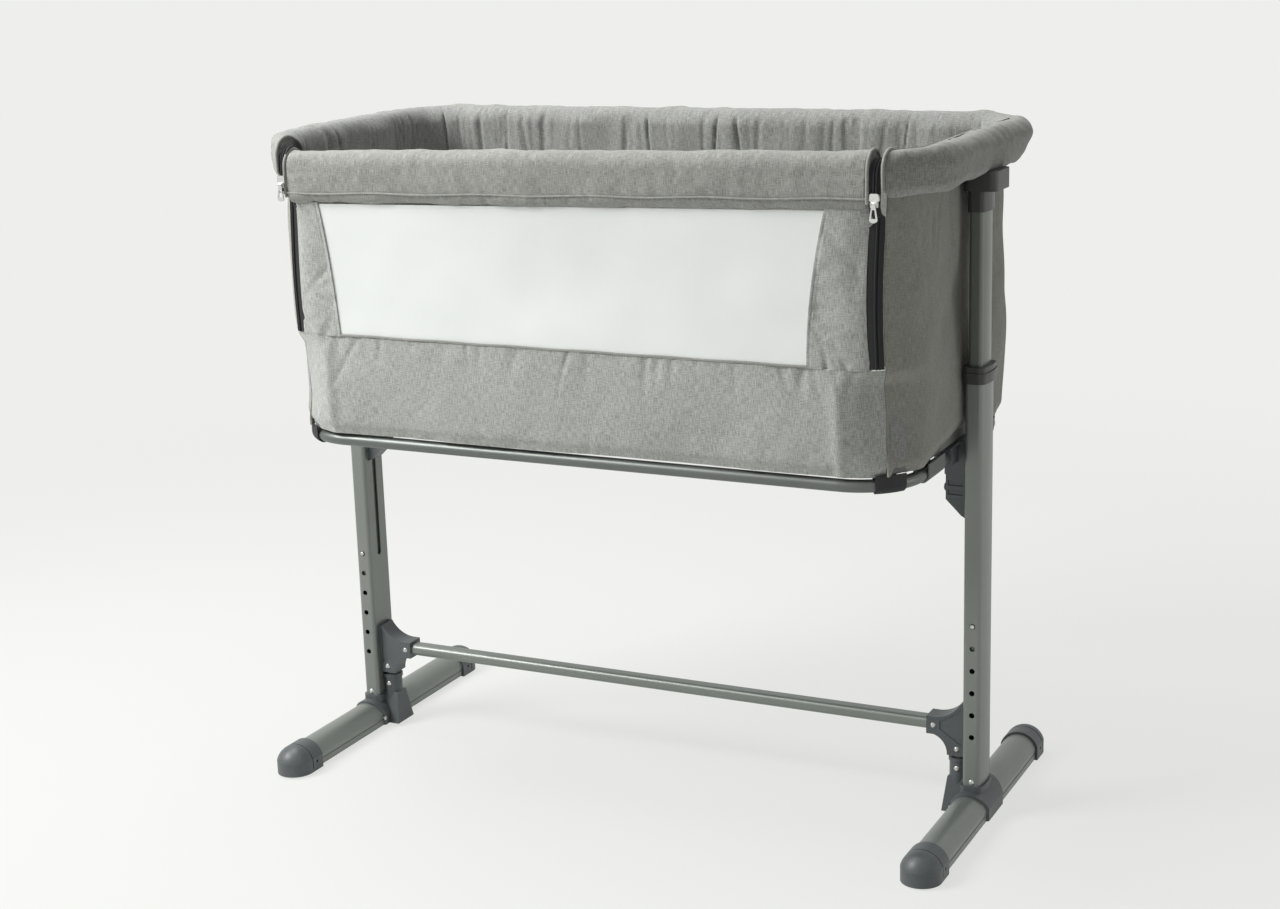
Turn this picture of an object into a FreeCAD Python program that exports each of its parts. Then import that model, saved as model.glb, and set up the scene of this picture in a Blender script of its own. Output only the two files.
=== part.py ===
import FreeCAD, Part
import math
import os
from FreeCAD import Vector as V

os.makedirs("parts", exist_ok=True)

# Bedside sleeper crib. Millimetres, +X along the length, +Y to the back, +Z up.
# The origin is on the floor, under the middle of the crib.

# ---- the two posts: a D-shaped tube that slides inside a larger D-shaped tube
post_span = 916.0        # between the middles of the two posts
post_w = 25.0            # outer post, along the length
post_d = 50.0            # outer post, front to back
post_wall = 1.5
post_bulge_r = 106.0     # radius of the arched outer side
post_edge_r = 5.0        # rounded upright edges
post_top_z = 590.0
inner_w = 19.0
inner_d = 43.0
inner_wall = 1.2
inner_edge_r = 4.0
inner_below = 45.0       # inner post under its snap button

# ---- height adjustment
hole_pitch = 30.0
hole_count = 6
hole_top_z = 263.0
hole_r = 3.6
button_r = 2.8
button_proud = 2.6
button_hole_r = 4.2      # in the inner post, wide enough for the leaf's swing
slot_w = 9.0
slot_end_gap = 2.0       # left under the key when the crib is at its lowest
key_rise = 23.0          # middle of the bracket's key above the bracket's foot
key_h = 30.0
leaf_t = 0.8
leaf_w = 10.0
leaf_rise = 43.0         # where the leaf is held, above its button

# ---- feet
foot_lift = 4.0          # underside of the foot above the floor
foot_w = 46.0
foot_h = 33.0
foot_arch_r = 24.0
foot_wall = 1.6
nose_y = 222.0           # middle of each rounded nose, front and back
nose_t = 3.0             # how far a nose stands out round the foot tube
nose_sleeve = 28.0
nose_pocket = 16.0
nose_floor = 2.0         # plastic under the foot tube
pad_r = 12.0
pad_sink = 2.0
groove_h = 1.4
groove_deep = 0.8
groove_z = 12.0          # above the floor
saddle_t = 3.0
saddle_r = 40.0          # the saddle's ends are rounded about the post
saddle_collar_t = 3.0
saddle_collar_h = 6.0
tongue_h = 16.0

# ---- crossbar, gussets and stub tubes
bar_z = 118.0
bar_h = 16.0
bar_d = 22.0
bar_edge_r = 6.0
bar_wall = 1.4
bar_pocket = 20.0
gusset_reach = 52.0
gusset_up = 34.0         # above the crossbar's middle
gusset_down = 38.0       # below it
gusset_side = 3.0        # plastic in front of and behind the crossbar
stub_r = 9.0
stub_wall = 1.2
stub_gap = 2.0           # between the stub tube and the post
stub_socket_t = 4.0
stub_bare = 4.0          # stub tube that shows between gusset and socket
stub_pocket = 20.0

# ---- lower ring that carries the tub
ring_inset = 32.0        # from the middle of a post in to the ring's tube
ring_under = 14.0        # from the tub's outside in to the ring's tube, front and back
ring_r = 8.0
ring_butt = 0.4          # between the ring tube's ends, at the back
ring_corner = 76.0
ring_z = 485.5
clamp_len = 45.0         # to each side of the post
bracket_drop = 24.5      # the bracket's step below the ring's middle
bracket_h = 61.0         # below the step
lug_rise = 13.5          # the bracket's lug above the ring's middle

# ---- fabric tub
tub_inset = 18.0         # from the middle of a post in to the tub's outside
tub_y = 222.0
tub_corner = 80.0
cloth = 3.0
hem_below = 2.0          # hem under the tub's floor
hem_rise = 19.0          # the end panels' hem arches up by this much
band_h = 130.0           # the band under the window
seam_front_in = 29.0     # where the end panels meet the front, in from the tub's end
seam_back_in = 82.0      # where they meet the back
pleats = 14
pleat_deep = 2.5
floor_rise = 14.5        # the tub's floor above the ring's middle
board_t = 6.0
mattress_h = 34.0
mattress_crown = 6.0

# ---- padded rim
rim_inset = 2.0          # from the middle of a post in to the rim's tube
rim_under = 9.0          # from the tub's outside in to the rim's tube, front and back
rim_corner = 80.0
rim_w = 44.0
rim_below = 30.0         # padding under the tube's middle
rim_above = 25.0
rim_sag = 14.0
rim_tube_r = 9.5
tube_wall = 1.2          # of the ring, the rim's tube and the drop side's bar
rim_tube_z = 862.0
cap_rise = 17.0          # the post's cap under the padded rim
drop_w = 40.0
drop_below = 46.0
drop_above = 23.0
drop_sag = 15.0
drop_lower = 10.0        # the drop side's bar below the rim's tube
zip_gap = 13.0          # between the two padded ends, filled by the zip
piping = 1.8
piping_w = 3.0

# ---- drop side window, seen from the front
strip_low = 72.0         # width of the cloth beside the window, at the window's foot
strip_mid = 65.0
strip_top = 46.0
window_hem = 5.0
mesh_t = 1.2

# ---- zips
zip_t = 2.0
slider_w = 11.0
slider_h = 16.0
slider_t = 5.2
slider_rise = 15.0       # the closed slider above the drop side's low line
slide_end_rise = 6.0     # the open slider above the band
zip_sunk = 1.0           # the zip's face lies this far inside the padded end's
tab_len = 21.0
tab_top_w = 5.0
tab_low_w = 10.0
tab_t = 1.5

# ---- clearances
fit = 0.15               # pieces that are pressed or screwed together
run = 0.3                # pieces that slide or turn, and soft pieces
seat = 0.3               # soft pieces laid on hard ones
screw_r = 2.0
screw_head_r = 3.6
screw_head_h = 1.8

# ---- sizes that follow from those above
post_x = post_span / 2.0
post_in_x = post_x - post_w / 2.0
ring_x = post_x - ring_inset
rim_x = post_x - rim_inset
tub_x = post_x - tub_inset
ring_y = tub_y - ring_under
rim_y = tub_y - rim_under
seam_front = tub_x - seam_front_in
seam_back = tub_x - seam_back_in
rim_low_z = rim_tube_z - rim_below
rim_top_z = rim_tube_z + rim_above
inner_low_z = hole_top_z - inner_below
inner_top_z = rim_low_z - cap_rise
leaf_pivot_z = hole_top_z + leaf_rise
drop_tube_z = rim_tube_z - drop_lower
drop_low_z = drop_tube_z - drop_below
drop_top_z = drop_tube_z + drop_above
bracket_step_z = ring_z - bracket_drop
bracket_low_z = bracket_step_z - bracket_h
bracket_top_z = ring_z + lug_rise
key_z = bracket_low_z + key_rise       # when the crib is at its highest
floor_z = ring_z + floor_rise
hem_z = floor_z - hem_below
band_top_z = hem_z + band_h
slider_low_z = drop_low_z + slider_rise
slide_end_z = band_top_z + slide_end_rise
gusset_top_z = bar_z + gusset_up
gusset_low_z = bar_z - gusset_down
stub_socket_top_z = gusset_low_z - stub_bare
post_low_z = foot_lift + foot_h + saddle_t
inner_bulge_r = post_bulge_r - post_wall - (post_w - 2.0 * post_wall - inner_w) / 2.0
stub_x = post_in_x - stub_gap - stub_r
lift = hole_pitch * (hole_count - 1)
rim_front = rim_y + drop_w / 2.0
drop_end = seam_front - zip_gap
zip_mid = (seam_front + drop_end) / 2.0
window_low = drop_end - strip_low
window_mid = drop_end - strip_mid
window_top = drop_end - strip_top
above_all = 2.0 * rim_top_z
stub_low_z = post_low_z + saddle_collar_h + 1.0


def save(name, shape):
    shape.exportStep("parts/" + name + ".step")


def box(x0, x1, y0, y1, z0, z1):
    return Part.makeBox(x1 - x0, y1 - y0, z1 - z0, V(x0, y0, z0))


def mirror_x(shape):
    return shape.mirror(V(0, 0, 0), V(1, 0, 0))


def mirror_y(shape):
    return shape.mirror(V(0, 0, 0), V(0, 1, 0))


def joined(shapes):
    whole = shapes[0]
    for shape in shapes[1:]:
        whole = whole.fuse(shape)
    return whole.removeSplitter()


def prism(points, direction):
    """A closed outline through points, each a vector or a pair (through, end) for an arc, pushed along direction."""
    edges = []
    last = points[0]
    for item in list(points[1:]) + [points[0]]:
        if isinstance(item, tuple):
            edges.append(Part.Arc(last, item[0], item[1]).toShape())
            last = item[1]
        else:
            if last.distanceToPoint(item) > 1e-6:
                edges.append(Part.makeLine(last, item))
            last = item
    return Part.Face(Part.Wire(edges)).extrude(direction)


def upright_edges(shape):
    found = []
    for edge in shape.Edges:
        if len(edge.Vertexes) == 2:
            a = edge.Vertexes[0].Point
            b = edge.Vertexes[1].Point
            if abs(a.x - b.x) < 1e-6 and abs(a.y - b.y) < 1e-6:
                found.append(edge)
    return found


def d_prism(w, d, bulge_r, r, z0, z1):
    """The post's D shape at the right-hand post: flat towards the crib, arched outwards."""
    b = bulge_r - math.sqrt(bulge_r ** 2 - (d / 2.0) ** 2)
    x0 = post_x - w / 2.0
    x1 = post_x + w / 2.0
    low = V(x0, -d / 2.0, z0)
    side = V(x1 - b, -d / 2.0, z0)
    top = V(x1, 0, z0)
    far = V(x1 - b, d / 2.0, z0)
    back = V(x0, d / 2.0, z0)
    body = prism([low, side, (top, far), back], V(0, 0, z1 - z0))
    return body.makeFillet(max(r, 0.6), upright_edges(body))


def post_prism(grow, z0, z1):
    return d_prism(post_w + 2 * grow, post_d + 2 * grow, post_bulge_r + grow, post_edge_r + grow, z0, z1)


def inner_prism(grow, z0, z1):
    return d_prism(inner_w + 2 * grow, inner_d + 2 * grow, inner_bulge_r + grow, inner_edge_r + grow, z0, z1)


def round_box(x0, x1, y0, y1, z0, z1, r, axis):
    """A box with the four edges along one axis rounded."""
    body = box(x0, x1, y0, y1, z0, z1)
    found = []
    for edge in body.Edges:
        run_of = edge.Vertexes[1].Point - edge.Vertexes[0].Point
        if abs(abs(run_of.dot(axis)) - run_of.Length) < 1e-6:
            found.append(edge)
    return body.makeFillet(r, found)


# ---------------------------------------------------------------- feet
def arch(grow, y0, y1, under=0.0):
    """The foot's arched section, grown outwards, between two places along the foot."""
    r = foot_arch_r + grow
    half = foot_w / 2.0 + grow
    z_mid = foot_lift + foot_h - foot_arch_r
    z_side = z_mid + math.sqrt(r * r - half * half)
    floor = foot_lift - min(grow, 0.0) - under
    a = V(post_x - half, y0, floor)
    b = V(post_x + half, y0, floor)
    c = V(post_x + half, y0, z_side)
    top = V(post_x, y0, z_mid + r)
    d = V(post_x - half, y0, z_side)
    return prism([a, b, c, (top, d)], V(0, y1 - y0, 0))


def nose_dome(grow):
    """Half of the arched section turned half a turn about an upright line: the rounded end."""
    r = foot_arch_r + grow
    half = foot_w / 2.0 + grow
    z_mid = foot_lift + foot_h - foot_arch_r
    side_angle = math.acos(half / r)
    z_side = z_mid + r * math.sin(side_angle)
    mid_angle = (side_angle + math.pi / 2.0) / 2.0
    a = V(post_x, nose_y, foot_lift - nose_floor)
    b = V(post_x + half, nose_y, foot_lift - nose_floor)
    c = V(post_x + half, nose_y, z_side)
    through = V(post_x + r * math.cos(mid_angle), nose_y, z_mid + r * math.sin(mid_angle))
    top = V(post_x, nose_y, z_mid + r)
    edges = [Part.makeLine(a, b), Part.makeLine(b, c), Part.Arc(c, through, top).toShape(), Part.makeLine(top, a)]
    face = Part.Face(Part.Wire(edges))
    return face.revolve(V(post_x, nose_y, 0), V(0, 0, 1), 180)


tube_end = nose_y - nose_sleeve + nose_pocket
foot_tube = arch(0.0, -tube_end, tube_end).cut(arch(-foot_wall, -tube_end - 1, tube_end + 1))
for side in (-1, 1):
    edge_x = post_x + side * foot_w / 2.0
    groove = box(edge_x - groove_deep, edge_x + groove_deep, -tube_end - 1, tube_end + 1, groove_z, groove_z + groove_h)
    foot_tube = foot_tube.cut(groove)

nose = arch(nose_t, nose_y - nose_sleeve, nose_y, nose_floor).fuse(nose_dome(nose_t)).removeSplitter()
nose = nose.cut(arch(fit, nose_y - nose_sleeve - 1, tube_end + fit))
ring_cut = arch(nose_t + 1, nose_y - 5.0, nose_y - 3.4, -3.0).cut(arch(nose_t - 1.0, nose_y - 6.0, nose_y - 2.0, 9.0))
nose = nose.cut(ring_cut)
for side in (-1, 1):
    hole_at = V(post_x + side * (foot_w / 2.0 + nose_t + 1), nose_y - nose_sleeve / 2.0, foot_lift + foot_h / 3.0)
    nose = nose.cut(Part.makeCylinder(2.2, nose_t + 1.0, hole_at, V(-side, 0, 0)))
pad_y = tube_end + pad_r + 3.0
pad_top = foot_lift - nose_floor + pad_sink
nose = nose.cut(Part.makeCylinder(pad_r + fit, pad_top, V(post_x, pad_y, 0), V(0, 0, 1)))
pad = Part.makeCylinder(pad_r, pad_top, V(post_x, pad_y, 0), V(0, 0, 1))
pad = pad.makeChamfer(1.0, [edge for edge in pad.Edges if edge.BoundBox.ZMax < 0.1 and len(edge.Vertexes) == 1])

# ---------------------------------------------------------------- screws
screws = []


def screw(at, towards, length):
    """A screw with its head on a surface at a place and its shank running the given way."""
    head = Part.makeCone(screw_head_r * 0.55, screw_head_r, screw_head_h, at - towards * screw_head_h, towards)
    shank = Part.makeCylinder(screw_r, length, at, towards)
    screws.append(head.fuse(shank))
    return Part.makeCylinder(screw_r + fit, length + 2.0, at - towards, towards)


# ---------------------------------------------------------------- outer post and what holds it to the foot
post = post_prism(0, post_low_z, post_top_z)
post = post.cut(post_prism(-post_wall, post_low_z - 1, post_top_z + 1))
for n in range(hole_count):
    at = V(post_x, -post_d / 2.0 - 1, hole_top_z - n * hole_pitch)
    post = post.cut(Part.makeCylinder(hole_r, post_wall + 2, at, V(0, 1, 0)))
slot_low = key_z - key_h / 2.0 - lift - slot_end_gap
slot_high = key_z + key_h / 2.0 + slot_end_gap
slot = round_box(post_in_x - 1, post_in_x + post_wall + 1, -slot_w / 2.0, slot_w / 2.0,
                 slot_low, slot_high, slot_w / 2.0 - 0.01, V(1, 0, 0))
post = post.cut(slot)

saddle = arch(saddle_t + fit, -saddle_r, saddle_r)
saddle = saddle.common(Part.makeCylinder(saddle_r, foot_h * 3, V(post_x, 0, 0)))
boss = post_prism(saddle_collar_t, foot_lift + foot_h / 2.0, post_low_z + saddle_collar_h)
saddle = saddle.fuse(boss)
saddle = saddle.cut(post_prism(fit, post_low_z, post_low_z + saddle_collar_h + 1))
saddle = saddle.fuse(post_prism(-post_wall - fit, post_low_z - 1, post_low_z + tongue_h)).removeSplitter()
saddle = saddle.cut(arch(fit, -saddle_r - 1, saddle_r + 1))

# ---------------------------------------------------------------- crossbar, gusset, stub tube and its socket
bar_end = post_in_x - gusset_reach + bar_pocket
crossbar = round_box(-bar_end, bar_end, -bar_d / 2.0, bar_d / 2.0, bar_z - bar_h / 2.0, bar_z + bar_h / 2.0,
                     bar_edge_r, V(1, 0, 0))
hollow = round_box(-bar_end - 1, bar_end + 1, -bar_d / 2.0 + bar_wall, bar_d / 2.0 - bar_wall,
                   bar_z - bar_h / 2.0 + bar_wall, bar_z + bar_h / 2.0 - bar_wall,
                   bar_edge_r - bar_wall, V(1, 0, 0))
crossbar = crossbar.cut(hollow)

lip = 4.0                # plastic above and below the crossbar in its socket
half_g = bar_d / 2.0 + gusset_side
mouth_x = post_in_x - gusset_reach
mouth_top = bar_z + bar_h / 2.0 + lip
mouth_low = bar_z - bar_h / 2.0 - lip
neck_x = stub_x - stub_r - lip
gusset_outline = [
    V(post_in_x, -half_g, gusset_top_z),
    V(post_in_x - 6, -half_g, gusset_top_z),
    (V(post_in_x - 6 - (gusset_reach - 12) * 0.36, -half_g, mouth_top + (gusset_top_z - mouth_top) * 0.30),
     V(mouth_x + 8, -half_g, mouth_top)),
    V(mouth_x, -half_g, mouth_top),
    V(mouth_x, -half_g, mouth_low),
    V(mouth_x + 10, -half_g, mouth_low),
    (V(neck_x - (neck_x - mouth_x - 10) * 0.25, -half_g, gusset_low_z + (mouth_low - gusset_low_z) * 0.62),
     V(neck_x, -half_g, gusset_low_z)),
    V(post_in_x, -half_g, gusset_low_z),
]
gusset = prism(gusset_outline, V(0, 2 * half_g, 0))
recess_outline = [
    V(post_in_x - 4, 0, gusset_top_z - 6),
    (V(post_in_x - 4 - (gusset_reach - 12) * 0.42, 0, mouth_top + (gusset_top_z - mouth_top) * 0.12),
     V(mouth_x + 18, 0, mouth_top - 5)),
    V(mouth_x + 18, 0, mouth_low + 8),
    V(post_in_x - 4, 0, gusset_low_z + 14),
]
for side in (-1, 1):
    dish = prism(recess_outline, V(0, 2.0, 0))
    dish.translate(V(0, side * half_g - 1.0, 0))
    gusset = gusset.cut(dish)
bar_room = round_box(mouth_x - 1, bar_end + fit, -bar_d / 2.0 - fit, bar_d / 2.0 + fit,
                     bar_z - bar_h / 2.0 - fit, bar_z + bar_h / 2.0 + fit, bar_edge_r + fit, V(1, 0, 0))
gusset = gusset.cut(bar_room)
gusset = gusset.cut(Part.makeCylinder(stub_r + fit, stub_pocket, V(stub_x, 0, gusset_low_z - 1), V(0, 0, 1)))

stub_top = gusset_low_z - 1 + stub_pocket - 1
stub = Part.makeCylinder(stub_r, stub_top - stub_low_z, V(stub_x, 0, stub_low_z))
stub = stub.cut(Part.makeCylinder(stub_r - stub_wall, stub_top, V(stub_x, 0, 0)))

sock_r = stub_r + stub_socket_t
socket = Part.makeCylinder(sock_r, stub_socket_top_z - foot_lift - foot_h / 2.0, V(stub_x, 0, foot_lift + foot_h / 2.0))
rim_band = Part.makeCylinder(sock_r + 1.2, 5.0, V(stub_x, 0, stub_socket_top_z - 5.0))
wedge_top = foot_lift + foot_h + 12.0
wedge_out = stub_x - sock_r - 5.0
upper = Part.makePolygon([V(stub_x - sock_r, -sock_r + 2, wedge_top), V(post_in_x, -sock_r + 2, wedge_top),
                          V(post_in_x, sock_r - 2, wedge_top), V(stub_x - sock_r, sock_r - 2, wedge_top),
                          V(stub_x - sock_r, -sock_r + 2, wedge_top)])
lower = Part.makePolygon([V(wedge_out, -sock_r - 8, foot_lift), V(post_in_x, -sock_r - 8, foot_lift),
                          V(post_in_x, sock_r + 8, foot_lift), V(wedge_out, sock_r + 8, foot_lift),
                          V(wedge_out, -sock_r - 8, foot_lift)])
wedge = Part.makeLoft([upper, lower], True, True)
socket = socket.fuse(rim_band).fuse(wedge)
socket = socket.common(box(0, post_in_x - fit, -saddle_r, saddle_r, 0, post_top_z))
socket = socket.cut(arch(saddle_t + 2 * fit, -2 * saddle_r, 2 * saddle_r))
socket = socket.cut(post_prism(saddle_collar_t + fit, 0, post_low_z + saddle_collar_h + fit))
socket = socket.cut(Part.makeCylinder(stub_r + fit, gusset_top_z, V(stub_x, 0, stub_low_z), V(0, 0, 1)))
socket = max(socket.Solids, key=lambda solid: solid.Volume)

# screws of the base, with a hole through whatever each one holds
drill = screw(V(post_x, -post_d / 2.0, post_low_z + 11.0), V(0, 1, 0), 12.0)
post = post.cut(drill)
saddle = saddle.cut(drill)
drill = screw(V(mouth_x + 9.0, -half_g, bar_z), V(0, 1, 0), 10.0)
gusset = gusset.cut(drill)
crossbar = crossbar.cut(drill).cut(mirror_x(drill))
drill = screw(V(stub_x, -half_g, gusset_low_z + 9.0), V(0, 1, 0), half_g)
gusset = gusset.cut(drill)
stub = stub.cut(drill)
drill = screw(V(stub_x, -sock_r, stub_socket_top_z - 14.0), V(0, 1, 0), sock_r)
socket = socket.cut(drill)
stub = stub.cut(drill)
for side in (-1, 1):
    flank = V(post_x - foot_w / 2.0 - saddle_t - fit, side * (saddle_r - 9.0), foot_lift + 11.0)
    drill = screw(flank, V(1, 0, 0), 8.0)
    saddle = saddle.cut(drill)
    foot_tube = foot_tube.cut(drill)

# ---------------------------------------------------------------- bush at the top of the outer post
bush_low = post_top_z - 13.0
bush_top = post_top_z + 8.0
bush = post_prism(3.0, bush_low, bush_top)
bush = bush.fuse(post_prism(4.4, post_top_z - 4.0, post_top_z + 1.0))
bush = bush.cut(post_prism(fit, bush_low - 1, post_top_z))
bush = bush.fuse(post_prism(-post_wall - fit, post_top_z - 30.0, post_top_z + 1.0))
bush = bush.cut(inner_prism(run, post_top_z - 40.0, bush_top + 1))

# ---------------------------------------------------------------- inner post, its glide, leaf spring and cap
inner = inner_prism(0, inner_low_z, inner_top_z).cut(inner_prism(-inner_wall, inner_low_z - 1, inner_top_z + 1))
at = V(post_x, -inner_d / 2.0 - 1, hole_top_z)
inner = inner.cut(Part.makeCylinder(button_hole_r, inner_wall + 2, at, V(0, 1, 0)))
inner_in_x = post_x - inner_w / 2.0
key_w = slot_w - 2 * run
window = box(inner_in_x - 1, inner_in_x + inner_wall + 1, -key_w / 2.0 - fit, key_w / 2.0 + fit,
             key_z - key_h / 2.0 - fit, key_z + key_h / 2.0 + fit)
inner = inner.cut(window)

glide = post_prism(-post_wall - run, inner_low_z - 8.0, inner_low_z)
glide = glide.fuse(inner_prism(-inner_wall - fit, inner_low_z - 1, inner_low_z + 17.0)).removeSplitter()
glide = glide.cut(inner_prism(-inner_wall - 3.0, inner_low_z - 9.0, inner_low_z + 18.0))

leaf_front = -inner_d / 2.0 + inner_wall + run
holder = inner_prism(-inner_wall - fit, leaf_pivot_z - 3.0, leaf_pivot_z + 8.0)
leaf_room = box(post_x - leaf_w / 2.0 - run, post_x + leaf_w / 2.0 + run, leaf_front - 2.0, leaf_front + leaf_t + 1.2,
                leaf_pivot_z - 4.0, leaf_pivot_z + 3.0)
holder = holder.cut(leaf_room)
leaf = box(post_x - leaf_w / 2.0, post_x + leaf_w / 2.0, leaf_front, leaf_front + leaf_t,
           hole_top_z - 6.0, leaf_pivot_z + 2.0)
button_tip = -post_d / 2.0 - button_proud
button = Part.makeCylinder(button_r, leaf_front + leaf_t - button_tip, V(post_x, button_tip, hole_top_z), V(0, 1, 0))
tip_edges = [edge for edge in button.Edges if edge.BoundBox.YMax < button_tip + 0.1 and len(edge.Vertexes) == 1]
button = button.makeChamfer(button_r * 0.4, tip_edges)
clip = leaf.fuse(button).removeSplitter()

cap = inner_prism(2.5, inner_top_z - 26.0, inner_top_z + 1.0).cut(inner_prism(fit, inner_top_z - 27.0, inner_top_z))
flange_top = rim_low_z + 7.0
flange = round_box(post_x - 16.0, post_x + 27.0, -30.0, 30.0, inner_top_z, flange_top, 9.0, V(0, 0, 1))
cap = cap.fuse(flange)
neck = box(rim_x - 8.0, rim_x + 8.0, -14.0, 14.0, inner_top_z, rim_tube_z)


# ---------------------------------------------------------------- padded rim
def rim_edges(w, z0, z1, sag, grow):
    """Outline of a padded rim in the XZ plane: round on top, straight sides, a shallow curve below."""
    half = w / 2.0 + grow
    z_round = z1 - w / 2.0
    z_side = z0 + sag
    a = V(-half, 0, z_side)
    low = V(0, 0, z0 - grow)
    b = V(half, 0, z_side)
    c = V(half, 0, z_round)
    top = V(0, 0, z1 + grow)
    d = V(-half, 0, z_round)
    edges = [Part.Arc(a, low, b).toShape(), Part.makeLine(b, c), Part.Arc(c, top, d).toShape(), Part.makeLine(d, a)]
    return Part.Wire(edges)


def side_rim_face(grow, bored):
    face = Part.Face(rim_edges(rim_w, rim_low_z, rim_top_z, rim_sag, grow))
    if bored:
        hole = Part.makeCylinder(rim_tube_r + run, 10, V(0, -5, rim_tube_z), V(0, 1, 0))
        face = face.cut(hole)
    return face


def bar_section(r):
    """A round face about the origin, facing along Y."""
    return Part.Face(Part.Wire(Part.makeCircle(r, V(0, 0, 0), V(0, 1, 0))))


def tube_section(r):
    return bar_section(r).cut(bar_section(r - tube_wall))


def round_loop(face, half_x, half_y, corner, with_front):
    """Carries a section round a rounded rectangle: a full loop, or a U that is open at the front."""
    side = face.copy()
    side.translate(V(half_x, -half_y + corner, 0))
    pieces = [side.extrude(V(0, 2 * (half_y - corner), 0))]
    bend = face.copy()
    bend.translate(V(half_x, half_y - corner, 0))
    bend = bend.revolve(V(half_x - corner, half_y - corner, 0), V(0, 0, 1), 90)
    pieces.append(bend)
    pieces.append(mirror_y(bend))
    back = face.copy()
    back.rotate(V(0, 0, 0), V(0, 0, 1), 90)
    back.translate(V(0, half_y, 0))
    back = back.extrude(V(half_x - corner, 0, 0))
    pieces.append(back)
    if with_front:
        pieces.append(mirror_y(back))
    right = joined(pieces)
    return joined([right, mirror_x(right)])


def front_part(loop, x0, x1):
    """What a loop has in front, between two places along the crib on its right side."""
    return loop.common(box(x0, x1, -rim_y - 2 * rim_w, 0, 0, above_all))


def without_front(loop, half):
    return loop.cut(box(-half, half, -rim_y - 2 * rim_w, 0, 0, above_all))


rim_cover = without_front(round_loop(side_rim_face(0.0, True), rim_x, rim_y, rim_corner, True), seam_front)
neck_room = box(rim_x - 8.0 - run, rim_x + 8.0 + run, -14.0 - run, 14.0 + run, inner_top_z, rim_tube_z)
rim_cover = rim_cover.cut(neck_room).cut(mirror_x(neck_room))
rim_face = tube_section(rim_tube_r)
rim_face.translate(V(0, 0, rim_tube_z))
plug_head = 2.5
rim_tube = without_front(round_loop(rim_face, rim_x, rim_y, rim_corner, True), seam_front + plug_head)

cushion = side_rim_face(run, False)
cushion.translate(V(rim_x, -post_d, 0))
cap = cap.cut(cushion.extrude(V(0, 2 * post_d, 0)))
cap = cap.fuse(neck).removeSplitter()
cap = cap.cut(Part.makeCylinder(rim_tube_r, 2 * post_d, V(rim_x, -post_d, rim_tube_z), V(0, 1, 0)))



def end_cap(z, x0, x1):
    """The plastic cap on the end of a padded bar."""
    disc = bar_section(rim_tube_r)
    disc.translate(V(0, 0, z))
    return front_part(round_loop(disc, rim_x, rim_y, rim_corner, True), x0, x1)


end_plug = end_cap(rim_tube_z, seam_front, seam_front + plug_head)

# piping round the cut ends of the padded rim, right-hand end
pipe_face = Part.Face(rim_edges(rim_w, rim_low_z, rim_top_z, rim_sag, piping))
pipe_face = pipe_face.cut(Part.Face(rim_edges(rim_w, rim_low_z, rim_top_z, rim_sag, 0.0)))
pipe_face = pipe_face.cut(box(-rim_w, rim_w, -1, 1, 0, rim_low_z + rim_sag))
rim_piping = front_part(round_loop(pipe_face, rim_x, rim_y, rim_corner, True), seam_front, seam_front + piping_w)
panel_top = rim_low_z + rim_sag - 1.0
rim_room = round_loop(side_rim_face(run, False), rim_x, rim_y, rim_corner, True)

# ---------------------------------------------------------------- drop side: bar, padded cover, strips, mesh window
bar_face = tube_section(rim_tube_r)
bar_face.translate(V(0, 0, drop_tube_z))
bar_out = drop_end - plug_head
bar_front = front_part(round_loop(bar_face, rim_x, rim_y, rim_corner, True), -bar_out, bar_out)
bar_plug = end_cap(drop_tube_z, bar_out, drop_end)


def drop_face(grow):
    return Part.Face(rim_edges(drop_w, drop_low_z, drop_top_z, drop_sag, grow))


def drop_loop(face):
    return round_loop(face, rim_x, rim_y, rim_corner, True)


def tub_prism(shrink, z0, z1):
    x = tub_x - shrink
    y = tub_y - shrink
    return round_box(-x, x, -y, y, z0, z1, max(tub_corner - shrink, 1.0), V(0, 0, 1))


pad_face = drop_face(0.0).cut(Part.makeCylinder(rim_tube_r + run, 10, V(0, -5, drop_tube_z), V(0, 1, 0)))
drop_cover = front_part(drop_loop(pad_face), -drop_end, drop_end)
trim_face = drop_face(piping).cut(drop_face(0.0)).cut(box(-drop_w, drop_w, -1, 1, 0, drop_low_z + drop_sag))
drop_trim = front_part(drop_loop(trim_face), drop_end - piping_w, drop_end)

strip_edge = drop_end - run
front_y = -tub_y
sill_z = band_top_z + 2.0
skirt_top = drop_low_z + drop_sag - 1.0


def window_side(x_low, x_mid, x_top, y):
    z_mid = sill_z + (skirt_top - sill_z) * 0.45
    return V(x_low, y, sill_z), V(x_mid, y, z_mid), V(x_top, y, skirt_top)


low_r, mid_r, top_r = window_side(window_low, window_mid, window_top, front_y - 1)
strip = prism([low_r, V(strip_edge, front_y - 1, sill_z), V(strip_edge, front_y - 1, skirt_top), top_r, (mid_r, low_r)],
              V(0, tub_corner, 0))
drop_room = drop_loop(drop_face(run))
wall = tub_prism(0, hem_z, panel_top).cut(tub_prism(cloth, hem_z - 1, panel_top + 1))
strip = strip.common(wall).cut(drop_room)
mesh_y = front_y + (cloth - mesh_t) / 2.0
low_m, mid_m, top_m = window_side(window_low - 0.05, window_mid - 0.05, window_top - 0.05, mesh_y)
left_low = V(-low_m.x, mesh_y, sill_z)
left_mid = V(-mid_m.x, mesh_y, mid_m.z)
left_top = V(-top_m.x, mesh_y, top_m.z)
mesh = prism([left_low, low_m, (mid_m, top_m), left_top, (left_mid, left_low)], V(0, mesh_t, 0))
hem_bar = box(-window_low + 1, window_low - 1, front_y - 0.6, front_y + cloth, sill_z, sill_z + window_hem)
mesh = mesh.cut(drop_room)
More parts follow.
